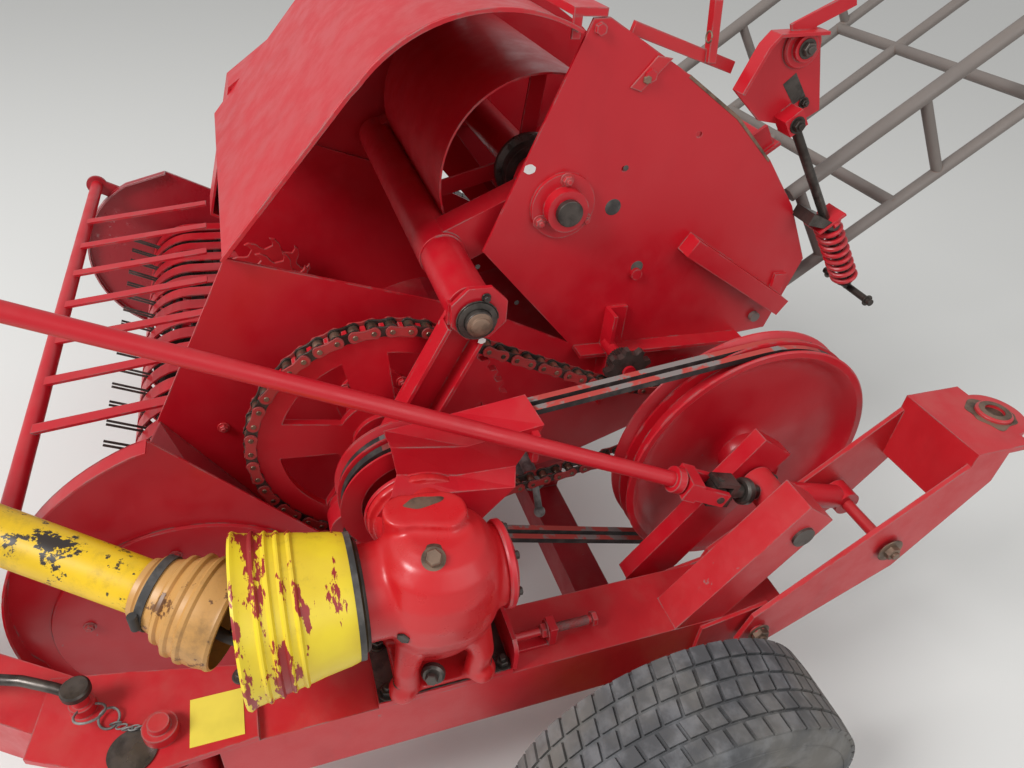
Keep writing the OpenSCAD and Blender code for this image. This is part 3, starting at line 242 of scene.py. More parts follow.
MATS = {
    "red": paint("red_paint", (0.47, 0.005, 0.014)),
    "red_worn": paint("red_paint_worn", (0.47, 0.014, 0.020), wear=1.4, dirt=0.9, seed=11.0),
    # Darker copy of the red paint: painted shade for parts inside the chamber and underneath, with more dirt
    # and wear as well
    "red_shaded": paint("red_paint_shaded", (0.30, 0.005, 0.012), wear=0.8, dirt=1.0, rough=0.42, seed=21.0),
    "red_polished": paint("red_paint_polished", (0.30, 0.006, 0.014), (0.50, 0.47, 0.47), wear=4.5,
                          dirt=0.6, rough=0.3, seed=71.0),
    "red_cast": paint("red_casting", (0.50, 0.010, 0.014), wear=0.9, dirt=0.5, rough=0.3, seed=61.0),
    "yellow": paint("yellow_paint", (0.78, 0.52, 0.02), wear=0.8, dirt=0.9, seed=41.0),
    "tube": chipped("tube_yellow", (0.74, 0.47, 0.01), (0.03, 0.022, 0.018), 0.06, 5.0, 0.38,
                    stretch=(1, 0.7, 1), scale=20, speck=0.35),
    "amber": chipped("amber_plastic", (0.52, 0.27, 0.08), (0.16, 0.07, 0.025), 0.03, 8.0, 0.4,
                     stretch=(1, 1, 1), scale=18, speck=0.45),
    "chute": paint("chute_paint", (0.17, 0.145, 0.13), (0.20, 0.11, 0.075), wear=1.6, dirt=1.0, rough=0.5,
                   seed=81.0),
    "label": chipped("label_yellow", (0.80, 0.66, 0.08), (0.55, 0.10, 0.06), -0.02, 1.0, 0.4),
    "greasy": metal("greasy_steel", (0.10, 0.085, 0.075), 0.32, 0.85, 0.6, 3.0),
    "cast": metal("cast_grey", (0.30, 0.30, 0.29), 0.55, 0.4, 0.5, 6.0),
    "brown_steel": metal("brown_steel", (0.26, 0.17, 0.12), 0.5, 0.5, 0.6, 15.0),
    "belt": rubber("belt_rubber", (0.035, 0.033, 0.032), 0.55, 40, 0.6),
    "chain_roller": metal("chain_rollers", (0.30, 0.21, 0.15), 0.3, 0.55, 0.8, 12.0),
    "chain_red": paint("chain_red", (0.36, 0.03, 0.03), (0.06, 0.045, 0.04), wear=1.6, dirt=0.6, seed=51.0),
    "tyre": rubber("tyre_rubber", (0.070, 0.071, 0.075), 0.45, 24, 0.82),
    "white": chipped("white_spot", (0.75, 0.74, 0.72), (0.40, 0.05, 0.06), 0.0, 3.0, 0.5),
}


def belt_material():
    """Black sides and runs, with the old overspray and bare patches on the faces that look up."""
    s = Shader("belt_rubber_painted")
    black = s.mix(s.ramp(s.noise(40, detail=6), 0.4, 0.7), (0.022, 0.021, 0.021), (0.06, 0.055, 0.05))
    spray = s.mix(s.ramp(s.noise(16, detail=6, seed=4.0), 0.52, 0.58), (0.42, 0.06, 0.05), (0.22, 0.20, 0.19))
    top = s.ramp(s.up(), 0.90, 0.965)
    s.bump(s.noise(160, detail=3), 0.2, 0.0008)
    return s.done(s.mix(top, black, spray), 0.6, 0.0, 0.35)


def cone_material():
    """Yellow plastic whose mouth half has lost large flakes along its ridges."""
    s = Shader("cone_yellow")
    tone = s.mix(s.ramp(s.noise(6, seed=2.0), 0.4, 0.7), (0.80, 0.62, 0.025), (0.70, 0.50, 0.03))
    sep = s.add("ShaderNodeSeparateXYZ")
    s.link(s.coord, sep.inputs["Vector"])
    mouth = s.ramp(sep.outputs["Y"], -0.285, -0.335, 0.0, 0.085)
    height = s.math("ADD", s.noise(15, detail=6, rough=0.66, stretch=(0.8, 2.4, 0.8), seed=6.0), mouth)
    flakes = s.ramp(height, 0.60, 0.62)
    tone = s.mix(flakes, tone, (0.30, 0.02, 0.02))
    grime = s.ramp(s.noise(12, detail=7, rough=0.75, seed=8.0), 0.54, 0.74)
    tone = s.mix(s.math("MULTIPLY", grime, 0.35), tone, (0.10, 0.06, 0.03))
    s.bump(flakes, -0.2, 0.001)
    return s.done(tone, 0.38, 0.0, 0.45)


MATS["belt_painted"] = belt_material()
MATS["cone"] = cone_material()
# Slot of the record that each material stands for
SLOT = {
    "red": "red_paint", "red_worn": "red_paint", "red_cast": "red_paint", "chain_red": "red_paint",
    "white": "red_paint", "greasy": "greasy_steel", "chain_roller": "greasy_steel", "cast": "bare_steel",
    "brown_steel": "bare_steel", "belt": "belt_rubber", "tyre": "tyre_rubber", "amber": "yellow_guard",
    "tube": "yellow_guard", "cone": "yellow_guard",
}
# Nodes that aren't in the gloss red; the parts inside the chamber and underneath take the darker red, which
# is painted shade
NODE_MAT = {
    "axle_beam": "red_shaded", "pto_cone": "cone", "chamber_floor": "red_shaded", "main_beam": "red_worn",
    "gearbox": "red_worn", "chain_tensioner": "cast", "drive_belts": "belt_painted", "roller_chain": "greasy",
    "blank_plates": "label", "tyre_left": "tyre", "tyre_right": "tyre", "rim_left": "yellow",
    "rim_right": "yellow", "plunger_head": "red_shaded", "chain_idler": "greasy", "counter_sprocket": "greasy",
    "pickup_frame": "red_shaded", "pickup_reel": "greasy", "feeder_rotor": "red_shaded",
    "dish_right": "red_polished", "bale_chute": "chute", "hitch_screw": "greasy", "rod_cross": "greasy",
    "pto_shaft": "tube", "hitch_arm": "red_worn", "drawbar": "red_worn",
}
for name, obj in NODES.items():
    obj.data.materials.clear()
    obj.data.materials.append(MATS[NODE_MAT.get(name, "red")])


# Mesh building
AXES = {"x": Vector((1, 0, 0)), "y": Vector((0, 1, 0)), "z": Vector((0, 0, 1))}


def unit(axis):
    """Direction of an axis such as x or -y, or of a vector."""
    if isinstance(axis, str):
        return -AXES[axis[1]] if axis[0] == "-" else AXES[axis]
    return Vector(axis).normalized()


def basis(at, axis, turn=0.0):
    """Matrix that takes local z to the axis, at a place in millimetres."""
    quat = unit(axis).to_track_quat("Z", "Y").to_matrix().to_4x4()
    return Matrix.Translation(Vector(at)) @ quat @ Matrix.Rotation(math.radians(turn), 4, "Z")


def polar(centre, r, degrees):
    """Point of a circle at an angle."""
    a = math.radians(degrees)
    return (centre[0] + r * math.cos(a), centre[1] + r * math.sin(a))


def circle(n):
    """Angles of n steps round a circle, in radians."""
    return [2 * math.pi * k / n for k in range(n)]


class Piece:
    """Collects parts in millimetres and ends as one object that rides a body."""

    def __init__(self, name, body, mat, bevel=0.8):
        self.name, self.body, self.bevel = name, body, bevel
        self.mat, self.slot = MATS[mat], SLOT[mat]
        self.bm = bmesh.new()

    def faces(self, points, faces, matrix=None):
        """Adds faces by the numbers of their points."""
        verts = [self.bm.verts.new(matrix @ Vector(p) if matrix else Vector(p)) for p in points]
        for f in faces:
            self.bm.faces.new([verts[i] for i in f])

    def lathe(self, profile, at, axis, seg=32, turn=0.0):
        """A closed profile of (radius, height) turned about an axis."""
        n = len(profile)
        pts, faces = [], []
        for a in circle(seg):
            pts += [(r * math.cos(a), r * math.sin(a), h) for r, h in profile]
        for k in range(seg):
            k2 = (k + 1) % seg
            for i in range(n):
                j = (i + 1) % n
                if profile[i][0] == 0 and profile[j][0] == 0:
                    continue
                faces.append((k * n + i, k2 * n + i, k2 * n + j, k * n + j))
        self.faces(pts, faces, basis(at, axis, turn))

    def rod(self, at, axis, length, r, seg=24):
        """A round bar with chamfered ends."""
        c = min(1.0, r * 0.4, length * 0.4)
        self.lathe([(0, 0), (r - c, 0), (r, c), (r, length - c), (r - c, length), (0, length)], at, axis, seg)

    def disc(self, at, axis, length, r, seg):
        """A round bar with sharp ends."""
        self.lathe([(0, 0), (r, 0), (r, length), (0, length)], at, axis, seg)

    def hexagon(self, at, axis, r, h, turn=0.0):
        prof = [(0, 0), (r, 0), (r, h * 0.82), (r * 0.86, h), (0, h)]
        self.lathe(prof, at, axis, 6, turn)

    def bolt(self, at, axis, r, h, washer=True, stud=0.0):
        """Hexagon head or nut on a washer; stud is the thread that shows beyond a nut."""
        turn = RNG.uniform(0, 60)
        base = Vector(at)
        if washer:
            self.lathe([(0, 0), (r * 1.32, 0), (r * 1.36, 1.2), (r * 1.3, 2.2), (0, 2.2)], base, axis, 24)
            base = base + unit(axis) * 2.2
        self.hexagon(base, axis, r, h, turn)
        if stud:
            self.lathe([(0, 0), (r * 0.55, 0), (r * 0.55, h + stud - 1), (r * 0.45, h + stud), (0, h + stud)],
                       base, axis, 14)

    def loft(self, *rings, matrix=None):
        """A closed body through rings of as many points each."""
        n, last = len(rings[0]), len(rings) - 1
        faces = [tuple(range(n - 1, -1, -1)), tuple(range(last * n, (last + 1) * n))]
        for i in range(last):
            low, high = i * n, (i + 1) * n
            faces += [(low + k, low + (k + 1) % n, high + (k + 1) % n, high + k) for k in range(n)]
        self.faces([p for ring in rings for p in ring], faces, matrix)

    def prism(self, outline, at, axis, h):
        """A plate whose outline stands square to an axis."""
        self.loft([(x, y, 0) for x, y in outline], [(x, y, h) for x, y in outline], matrix=basis(at, axis))

    def side(self, x0, x1, outline):
        """A plate whose outline lies in the y-z plane."""
        self.loft([(x0, y, z) for y, z in outline], [(x1, y, z) for y, z in outline])

    def slab(self, x, y, z):
        """A block between pairs of x, y and z."""
        self.side(x[0], x[1], [(y[0], z[0]), (y[1], z[0]), (y[1], z[1]), (y[0], z[1])])

    def pipe(self, points, r, seg=12, closed=False):
        """A round wire or tube along a list of points."""
        pts = [Vector(p) for p in points]
        n = len(pts)
        rings, normal = [], None
        for i in range(n):
            a = pts[(i - 1) % n] if (closed or i > 0) else pts[i]
            b = pts[(i + 1) % n] if (closed or i < n - 1) else pts[i]
            t = (b - a).normalized()
            if normal is None:
                normal = t.orthogonal().normalized()
            normal = (normal - t * normal.dot(t)).normalized()
            across = t.cross(normal)
            rings.append([self.bm.verts.new(pts[i] + r * (math.cos(a) * normal + math.sin(a) * across))
                          for a in circle(seg)])
        for i in range(n if closed else n - 1):
            p, q = rings[i], rings[(i + 1) % n]
            for k in range(seg):
                self.bm.faces.new((p[k], p[(k + 1) % seg], q[(k + 1) % seg], q[k]))
        if not closed:
            self.bm.faces.new(reversed(rings[0]))
            self.bm.faces.new(rings[-1])

    def end(self, replace=()):
        """Makes the object, in metres."""
        bmesh.ops.scale(self.bm, vec=(0.001, 0.001, 0.001), verts=self.bm.verts)
        bmesh.ops.remove_doubles(self.bm, verts=self.bm.verts, dist=1e-7)
        bmesh.ops.recalc_face_normals(self.bm, faces=self.bm.faces)
        mesh = bpy.data.meshes.new(self.name)
        self.bm.to_mesh(mesh)
        self.bm.free()
        mesh.materials.append(self.mat)
        obj = bpy.data.objects.new(self.name, mesh)
        scene.collection.objects.link(obj)
        mesh.shade_smooth()
        mesh.set_sharp_from_angle(angle=math.radians(32))
        if self.bevel:
            mod = obj.modifiers.new("bevel", "BEVEL")
            mod.width = self.bevel * 0.001
            mod.segments = 2
            mod.limit_method = "ANGLE"
            mod.angle_limit = math.radians(40)
            mod.harden_normals = True
        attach(obj, self.body)
        if replace:
            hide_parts(*replace)
        return obj


def arc(cy, cz, r, a, b, n):
    """Points of an arc from angle a to b, in n steps."""
    return [polar((cy, cz), r, a + (b - a) * i / n) for i in range(n + 1)]


def strip(line, t):
    """Outline of a sheet t thick to the left of a line."""
    out = []
    for i, (y, z) in enumerate(line):
        a, b = line[max(i - 1, 0)], line[min(i + 1, len(line) - 1)]
        d = Vector((b[0] - a[0], b[1] - a[1])).normalized()
        out.append((y - t * d.y, z + t * d.x))
    return list(line) + out[::-1]


def lane(p, q, w):
    """Rectangle of width w from p to q."""
    d = (Vector(q) - Vector(p)).normalized() * (w / 2)
    left = [(c[0] - d.y, c[1] + d.x) for c in (p, q)]
    return left + [(c[0] + d.y, c[1] - d.x) for c in (q, p)]


def fleck(rx, ry, wobble):
    """Outline of a small uneven spot."""
    return [(rx * math.cos(a * 0.4) * (1 + wobble * math.sin(a * 2.3)), ry * math.sin(a * 0.4))
            for a in range(16)]


# Places and sizes repeated from the solids, in millimetres; pairs are (y, z)
CRANK, IDLER, COUNTER = (-100.0, 722.0), (399.0, 800.0), (621.0, 654.0)
PIVOT, REEL, FEED = (261, 1114), (-480, 371), (-262.0, 645.0)
GEAR = (750.0, -83.0, 717.0)
SCREW = (698, 577, 688)
HITCH, PLATE_X = (747, 1010, 842), 842
PITCH = 31.75
CHAIN_X = 405.0
THROW = 175
SIDE_X = 287.0
ROD_X0 = 438
END_X = 454
TOP = 490.0
AXLE_Y, TYRE_R, TYRE_W = 315.0, 305.0, 196.0
HEAD = polar(PIVOT, -240, 25)


# Roller chain
def pitch_radius(n):
    """Radius at the rollers of a sprocket with n teeth."""
    return PITCH / 2 / math.sin(math.pi / n)


def tangent(c1, r1, c2, r2, s1, s2):
    """Angle on the first circle where a line that touches both leaves it; s says on which side of each."""
    d = Vector(c2) - Vector(c1)
    lean = math.acos((r1 - r2 if s1 == s2 else r1 + r2) / d.length)
    return math.degrees(math.atan2(d.y, d.x)) + s1 * math.degrees(lean)


def gaps(c, r, n, start, stop):
    """Rollers between the teeth of a sprocket, from one angle to another."""
    step = 360 / n
    i0, i1 = math.ceil(start / step - 0.5), math.floor(stop / step - 0.5)
    return [Vector(polar(c, r, step * (i + 0.5))) for i in range(i0, i1 + 1)]


def run(p, q, odd=0):
    """Rollers of a straight run between two others."""
    n = round((q - p).length / PITCH) + odd
    return [p + (q - p) * i / n for i in range(1, n)]


def chain_pins():
    """All rollers of the chain, an even number so that inner and outer links take turns."""
    rc, ri, rt = pitch_radius(48), pitch_radius(9), pitch_radius(12)
    up = tangent(CRANK, rc, IDLER, ri, 1, -1)
    low = tangent(CRANK, rc, COUNTER, rt, -1, -1)
    back = tangent(COUNTER, rt, IDLER, ri, -1, 1)
    on_crank = gaps(CRANK, rc, 48, up, low + 360)
    on_counter = gaps(COUNTER, rt, 12, low, back)
    on_idler = [Vector(polar(IDLER, ri, a)) for a in (-80, -120)]

    def build(odd):
        lower = on_crank + run(on_crank[-1], on_counter[0], odd) + on_counter
        return lower + run(on_counter[-1], on_idler[0]) + on_idler + run(on_idler[-1], on_crank[0])
    even = build(0)
    return build(1) if len(even) % 2 else even


def link_outline(p, q, h, waist):
    """Outline of a link plate with two round ends and a waist."""
    length = (q - p).length
    c, s = (q - p) / length
    pts = arc(0, 0, h, 250, 110, 7) + [(length * 0.5, waist)]
    pts += arc(length, 0, h, 70, -70, 7) + [(length * 0.5, -waist)]
    return [(p.x + x * c - y * s, p.y + x * s + y * c) for x, y in pts]


pins = chain_pins()
rollers = Piece("chain_rollers", "frame", "chain_roller", 0)
inner = Piece("chain_inner_plates", "frame", "greasy", 0.6)
outer = Piece("chain_outer_plates", "frame", "chain_red", 0.6)
for i, p in enumerate(pins):
    q = pins[(i + 1) % len(pins)]
    # A roller and its pin: radius, chamfer, half length, sides
    for r, c, half, seg in ((9.7, 0.5, 9.2, 18), (4.8, 0.6, 18.6, 12)):
        low, high = 0.8 - half, half - 0.8
        rollers.lathe([(0, -half), (r - c, -half), (r, low), (r, high), (r - c, half), (0, half)],
                      (CHAIN_X, *p), "x", seg)
    for s in (-1, 1):
        if i % 2 == 0:
            inner.side(CHAIN_X + s * 9.8, CHAIN_X + s * 13.2, link_outline(p, q, 12.5, 9.5))
        else:
            outer.side(CHAIN_X + s * 13.5, CHAIN_X + s * 17.0, link_outline(p, q, 12.0, 8.6))
rollers.end(["roller_chain"])
inner.end(["roller_chain"])
outer.end(["roller_chain"])


# Tyres
def tyre_piece(name, node, body, x):
    """Carcass with beads on its walls and five rows of tread blocks."""
    carcass = Piece(name, body, "tyre", 0)
    at = (x, AXLE_Y, TYRE_R)
    w = TYRE_W / 2
    # Radius, and half width there as a share of the widest
    wall = [(180, 0.72), (190, 0.84), (204, 0.93), (222, 0.985), (240, 1), (262, 0.975), (280, 0.93),
            (291, 0.88), (296.5, 0.8), (298, 0.4)]
    left, right = [[(r, s * w * f) for r, f in wall] for s in (-1, 1)]
    carcass.lathe(left + [(298, 0)] + right[::-1], at, "x", 120)
    for s in (-1, 1):
        for r, b, f in ((206, 2.2, 0.935), (270, 1.6, 0.955)):
            off = s * w * f
            carcass.lathe([(r - b, off - s * 2), (r, off + s * 1.6), (r + b, off - s * 2)], at, "x", 96)
    count = 54
    step = 360 / count
    # Both edges of a row as shares of the half width, and its shift along the tread
    rows = ((-0.84, -0.53, 0.0), (-0.47, -0.18, 0.30), (-0.12, 0.16, 0.62), (0.22, 0.50, 0.15),
            (0.56, 0.84, 0.45))
    for lo, hi, phase in rows:
        skew = 0.9 if lo < 0 else -0.9
        for k in range(count):
            pts = []
            for r, fall in ((294.0, 0), (304.4, 3.0)):
                for a, h in ((0, lo), (step * 0.8, lo), (step * 0.8, hi), (0, hi)):
                    drop = fall * max(0.0, abs(h) - 0.5) / 0.34
                    angle = (k + phase) * step + a + skew * (h - lo) / (hi - lo)
                    pts.append((x + h * w, *polar((AXLE_Y, TYRE_R), r - drop, angle)))
            carcass.faces(pts, [(4, 5, 6, 7), (0, 1, 5, 4), (1, 2, 6, 5), (2, 3, 7, 6), (3, 0, 4, 7)])
    carcass.end([node])


tyre_piece("tread_left", "tyre_left", "wheel_left", 996)
tyre_piece("tread_right", "tyre_right", "wheel_right", -996)


# Bolts and small steel
def bolts(name, body, mat, rows):
    """rows: place, axis, radius, height, stud"""
    piece = Piece(name, body, mat, 0.5)
    for at, axis, r, h, stud in rows:
        piece.bolt(at, axis, r, h, stud=stud)
    piece.end()


side_bolts = [((SIDE_X, y, z), "x", 8.5, 6.5, 3) for y, z in ((-390, 700), (640, 640))]
side_bolts += [((SIDE_X + 9, *polar(PIVOT, 52, a)), "x", 10, 8, 5) for a in (-30, 90, 210)]
side_bolts += [((SIDE_X + 9, *polar(at, r, a)), "x", 9, 8, 4)
               for at, r in ((CRANK, 68), (COUNTER, 58)) for a in (35, 145, 215, 325)]
bolts("side_plate_bolts", "frame", "red_worn", side_bolts)
frame_bolts = [((x, y, TOP + 12), "z", 12, 10, 8) for x in (700, 795) for y in (-175, 25)]
frame_bolts.append(((700, -400, TOP + 12), "z", 12, 10, 7))
bolts("frame_bolts", "frame", "greasy", frame_bolts)

# Left sector plate: welded trim, worn lower edge, holes as dark discs of painted shade, a white spot
trim = Piece("sector_trim", "frame", "red_worn", 0.8)
trim.side(SIDE_X, SIDE_X + 4, [(403, 1375), (433, 1371), (382, 1316), (360, 1323)])
trim.side(258, 270, [(362, 1424), (574, 1361), (570, 1340), (356, 1403)])
trim.side(262, 280, [(511, 1360), (527, 1360), (513, 1461), (497, 1461)])
trim.end()
rim = Piece("sector_edge", "frame", "brown_steel", 0.6)
rim.side(SIDE_X - 6, SIDE_X + 1.2,
         [(476, 1343.5), (600, 1268.5), (698, 1182.5), (695, 1178), (597, 1263), (474, 1338)])
rim.pipe([(SIDE_X + 6 + 9 * math.cos(a * 0.5), 492, 1406 + 9 * math.sin(a * 0.5)) for a in range(13)], 1.8, 8)
rim.bolt((SIDE_X, 389, 1337), "x", 8, 9, washer=False)
rim.end()
# The holes are thin dark discs on the plate: painted shade where openings would be
holes = Piece("plate_hole_shade", "frame", "belt", 0)
for y, z, r in ((368, 1103, 16.5), (447, 968, 13.5), (381, 1179, 5.5), (104, 1000, 5), (190, 912, 5)):
    holes.lathe([(0, 0), (r, 0), (r - 0.6, 0.5), (0, 0.5)], (SIDE_X, y, z), "x", 32)
holes.end()
dot = Piece("paint_spot", "frame", "white", 0)
dot.prism(fleck(11, 9, 0.12), (SIDE_X - 0.2, 190, 1185), "x", 0.9)
dot.end()

# Gearbox: screws of its two covers and a plug
gx, gy, gz = GEAR
gear = Piece("gearbox_screws", "frame", "greasy", 0.5)
for a in range(0, 360, 60):
    x, z = polar((gx, gz), 75, a)
    gear.bolt((x, gy - 146, z), "-y", 7, 5)
    gear.bolt((gx - 146, *polar((gy, gz), 77, a)), "-x", 7, 5)
gear.bolt((gx + 70, gy - 66, gz - 24), (0.8, -0.6, 0), 11, 9)
gear.end()

# Drive shaft from the joint inside the guard cone: ribbed cone, strap, tube and the yoke at its front end
yaw, rise = math.radians(30.03), math.radians(12.6)
PTO_AXIS = Vector((-math.sin(yaw) * math.cos(rise), -math.cos(yaw) * math.cos(rise), math.sin(rise)))
PTO_AT = Vector((750, -375, 709))
PTO_ACROSS = PTO_AXIS.cross(Vector((0, 0, 1))).normalized()


def on_shaft(d, off=0.0):
    """A point d along the drive shaft and off to its side."""
    return PTO_AT + PTO_AXIS * d + PTO_ACROSS * off


ribs = Piece("cone_ribs", "drive_shaft", "amber", 0)
# Outside with its four ribs, then the thin wall's inside
ribs.lathe([(71, 16), (74, 17), (76, 22), (75, 27), (77, 40), (76, 56), (79, 60), (79, 65), (74, 69),
            (73, 76), (76, 80), (76, 85), (70, 89), (63, 98), (66, 102), (65, 107), (57, 112), (53, 124),
            (53, 140), (41, 140), (41, 132), (48, 122), (54, 100), (68, 78), (72, 52), (71, 30)],
           on_shaft(-4), PTO_AXIS, 72)
ribs.lathe([(39.5, 134), (44, 136), (46, 142), (44, 150), (39.5, 152)], on_shaft(0), PTO_AXIS, 48)
ribs.end(["pto_shaft"])
strap = Piece("cone_strap", "drive_shaft", "belt", 0.4)
strap.lathe([(52, -6), (56, -6), (56, 6), (52, 6)], on_shaft(127), PTO_AXIS, 56)
strap.lathe([(0, -14), (7, -14), (7, 14), (0, 14)], on_shaft(127, -57) + Vector((0, 0, 8)), "z", 12)
strap.end()
tube = Piece("shaft_tube", "drive_shaft", "tube", 0)
tube.lathe([(34, 132), (40, 132), (40, 300), (40, 560), (40, 940), (42, 944), (42, 952), (40, 955),
            (34, 955)], on_shaft(0), PTO_AXIS, 56)
tube.end(["pto_shaft"])
shaft = Piece("shaft_inner", "drive_shaft", "greasy", 0.8)
shaft.rod(on_shaft(36), PTO_AXIS, 1000, 20, 32)
shaft.rod(on_shaft(34), PTO_AXIS, 80, 30, 32)
shaft.lathe([(17.5, 1010), (28, 1010), (34, 1018), (34, 1120), (30, 1126), (17.5, 1126)],
            on_shaft(0), PTO_AXIS, 40)
shaft.lathe([(34, 1060), (38, 1062), (38, 1072), (34, 1074)], on_shaft(0), PTO_AXIS, 40)
for s in (-1, 1):
    shaft.pipe([on_shaft(40, 22 * s), on_shaft(14, 27 * s), on_shaft(-8, 27 * s)], 9, 14)
shaft.rod(on_shaft(0, -30), PTO_ACROSS, 60, 10, 20)
shaft.end(["pto_shaft"])
fork = Piece("input_yoke", "frame", "greasy", 0.8)
fork.rod((gx, -252, gz), "-y", 78, 24, 32)
for s in (-1, 1):
    fork.pipe([(gx, -322, gz + 14 * s), (gx, -342, gz + 31 * s), (gx, -382, gz + 33 * s)], 8.5, 14)
fork.rod((gx, -375, gz - 37), "z", 74, 9, 20)
fork.end()

# Guard cone: rounded shoulder at the gearbox, beads round its middle, rolled edge at its mouth
cone = Piece("cone_shell", "frame", "cone", 0)
cy = gy - 136


def cone_r(d):
    """Outer radius of the cone's wall at a depth from the gearbox."""
    return 101 + 23 * (d - 24) / 130


skin = [(87, -9), (91, -9), (94, -5), (97, 3), (99.5, 13), (101, 24), (105, 50), (cone_r(68), 68)]
for d in (76, 93, 110, 127):
    r = cone_r(d)
    skin += [(r - 0.8, d - 4), (r + 3.4, d - 1), (r + 3.4, d + 1.5), (r + 0.6, d + 5)]
skin += [(cone_r(146), 146), (125, 150), (127, 154), (125, 158), (120.5, 158)]
lining = [(cone_r(d) - 4.6, d) for d in (140, 100, 60, 26)] + [(92, 8), (87, -2)]
cone.lathe(skin + lining, (gx, cy, gz), "-y", 120)
cone.end(["pto_cone"])
clamp = Piece("cone_band", "frame", "belt", 0.4)
clamp.lathe([(93, -4), (96, -4), (96, 5), (93, 5)], (gx, cy + 6, gz), "-y", 72)
clamp.end()

# Coil, rod and bracket of the density plate, which stand in for the plain rings; pairs are (y, z)
ROD_TOP, ROD_FOOT = Vector((702, 1264)), Vector((996, 884))
ROD_LEN = (ROD_FOOT - ROD_TOP).length
ROD_DIR = (ROD_FOOT - ROD_TOP) / ROD_LEN
ROD_X = SIDE_X + 30
BUSH = (688, 1393)


def rod_at(t, off=0.0):
    """A point at a share t of the density rod, off to its side."""
    y, z = ROD_TOP + ROD_DIR * ROD_LEN * t + Vector((-ROD_DIR.y, ROD_DIR.x)) * off
    return Vector((ROD_X, y, z))


spring = Piece("density_coil", "frame", "red", 0)
coil = []
turns, radius, steps = 8.5, 24, 20
for i in range(int(turns * steps) + 1):
    f = i / (turns * steps)
    a = 2 * math.pi * turns * f
    round_rod = Vector((math.cos(a), -math.sin(a) * ROD_DIR.y, math.sin(a) * ROD_DIR.x))
    coil.append(rod_at(0.555 + 0.385 * f) + round_rod * radius)
spring.pipe(coil, 5.6, 10)
spring.end(["density_spring"])
core = Piece("density_rod", "frame", "greasy", 0.5)
axis = (0, ROD_DIR.x, ROD_DIR.y)
core.rod(rod_at(0), axis, ROD_LEN, 9.6, 20)
core.rod((ROD_X - 80, *ROD_FOOT), "x", 160, 8, 16)
core.bolt(rod_at(0.945), axis, 15, 9)
core.side(SIDE_X - 4, ROD_X + 24, [(798, 1060), (880, 1040), (884, 1052), (806, 1084)])
for s in (-1, 1):
    core.disc((ROD_X + s * 66, *ROD_FOOT), "x", 3, 13, 18)
core.end(["density_spring"])
bracket = Piece("density_bracket", "frame", "red", 1.0)
bracket.side(SIDE_X, SIDE_X + 6, [(569, 1318), (600, 1396), (618, 1418), (719, 1424), (774, 1280),
                                  (724, 1249), (640, 1262)])
bracket.side(SIDE_X + 6, SIDE_X + 34, [(569, 1318), (600, 1396), (618, 1418), (719, 1424), (720, 1418),
                                       (621, 1412), (606, 1393), (575, 1316)])
bracket.side(SIDE_X + 9, SIDE_X + 15, lane((652, 1418), (768, 1475), 26))
bracket.side(SIDE_X, ROD_X + 26, lane(rod_at(0.54, -33).yz, rod_at(0.54, 33).yz, 6))
bracket.side(SIDE_X + 2, ROD_X + 12, lane(rod_at(-0.045).yz, rod_at(0.031).yz, 40))
bracket.lathe([(0, 0), (37, 0), (38, 2), (38, 6), (35, 9), (0, 9)], (SIDE_X + 5, *BUSH), "x", 44)
bracket.rod((SIDE_X + 12, *BUSH), "x", 12, 24, 32)
bracket.end(["density_spring"])
knob = Piece("density_bolts", "frame", "greasy", 0.5)
knob.bolt((SIDE_X + 24, *BUSH), "x", 13, 9, stud=4)
knob.bolt((ROD_X + 12, *ROD_TOP), "x", 12, 9, stud=4)
knob.bolt((SIDE_X + 6, 731, 1294), "x", 8, 7, stud=3)
knob.side(SIDE_X + 5.8, SIDE_X + 6.6, [(672, 1327), (694, 1348), (731, 1306), (708, 1290)])
knob.end()


def cast(piece, replace):
    """Melts the overlapping parts of a piece into one casting with soft fillets."""
    piece.bevel = 0
    obj = piece.end(replace)
    mod = obj.modifiers.new("melt", "REMESH")
    mod.mode = "VOXEL"
    mod.voxel_size = 0.004
    soft = obj.modifiers.new("soft", "SMOOTH")
    soft.factor = 0.6
    soft.iterations = 6
    shape = bpy.data.meshes.new_from_object(obj.evaluated_get(bpy.context.evaluated_depsgraph_get()))
    mat = obj.data.materials[0]
    obj.modifiers.clear()
    obj.data = shape
    shape.materials.clear()
    shape.materials.append(mat)
    shape.shade_smooth()


def housing_ring(z, rx, ry, power):
    """A rounded square about the gearbox's middle."""
    def bulge(r, v):
        return r * math.copysign(abs(v) ** (2 / power), v)
    return [(gx + bulge(rx, math.cos(a)), gy + bulge(ry, math.sin(a)), gz + z) for a in circle(40)]


# Gearbox housing as a casting: rounded body, bosses on three sides, legs with arches, kidney boss on top
body = Piece("gearbox_casting", "frame", "red_cast", 0)
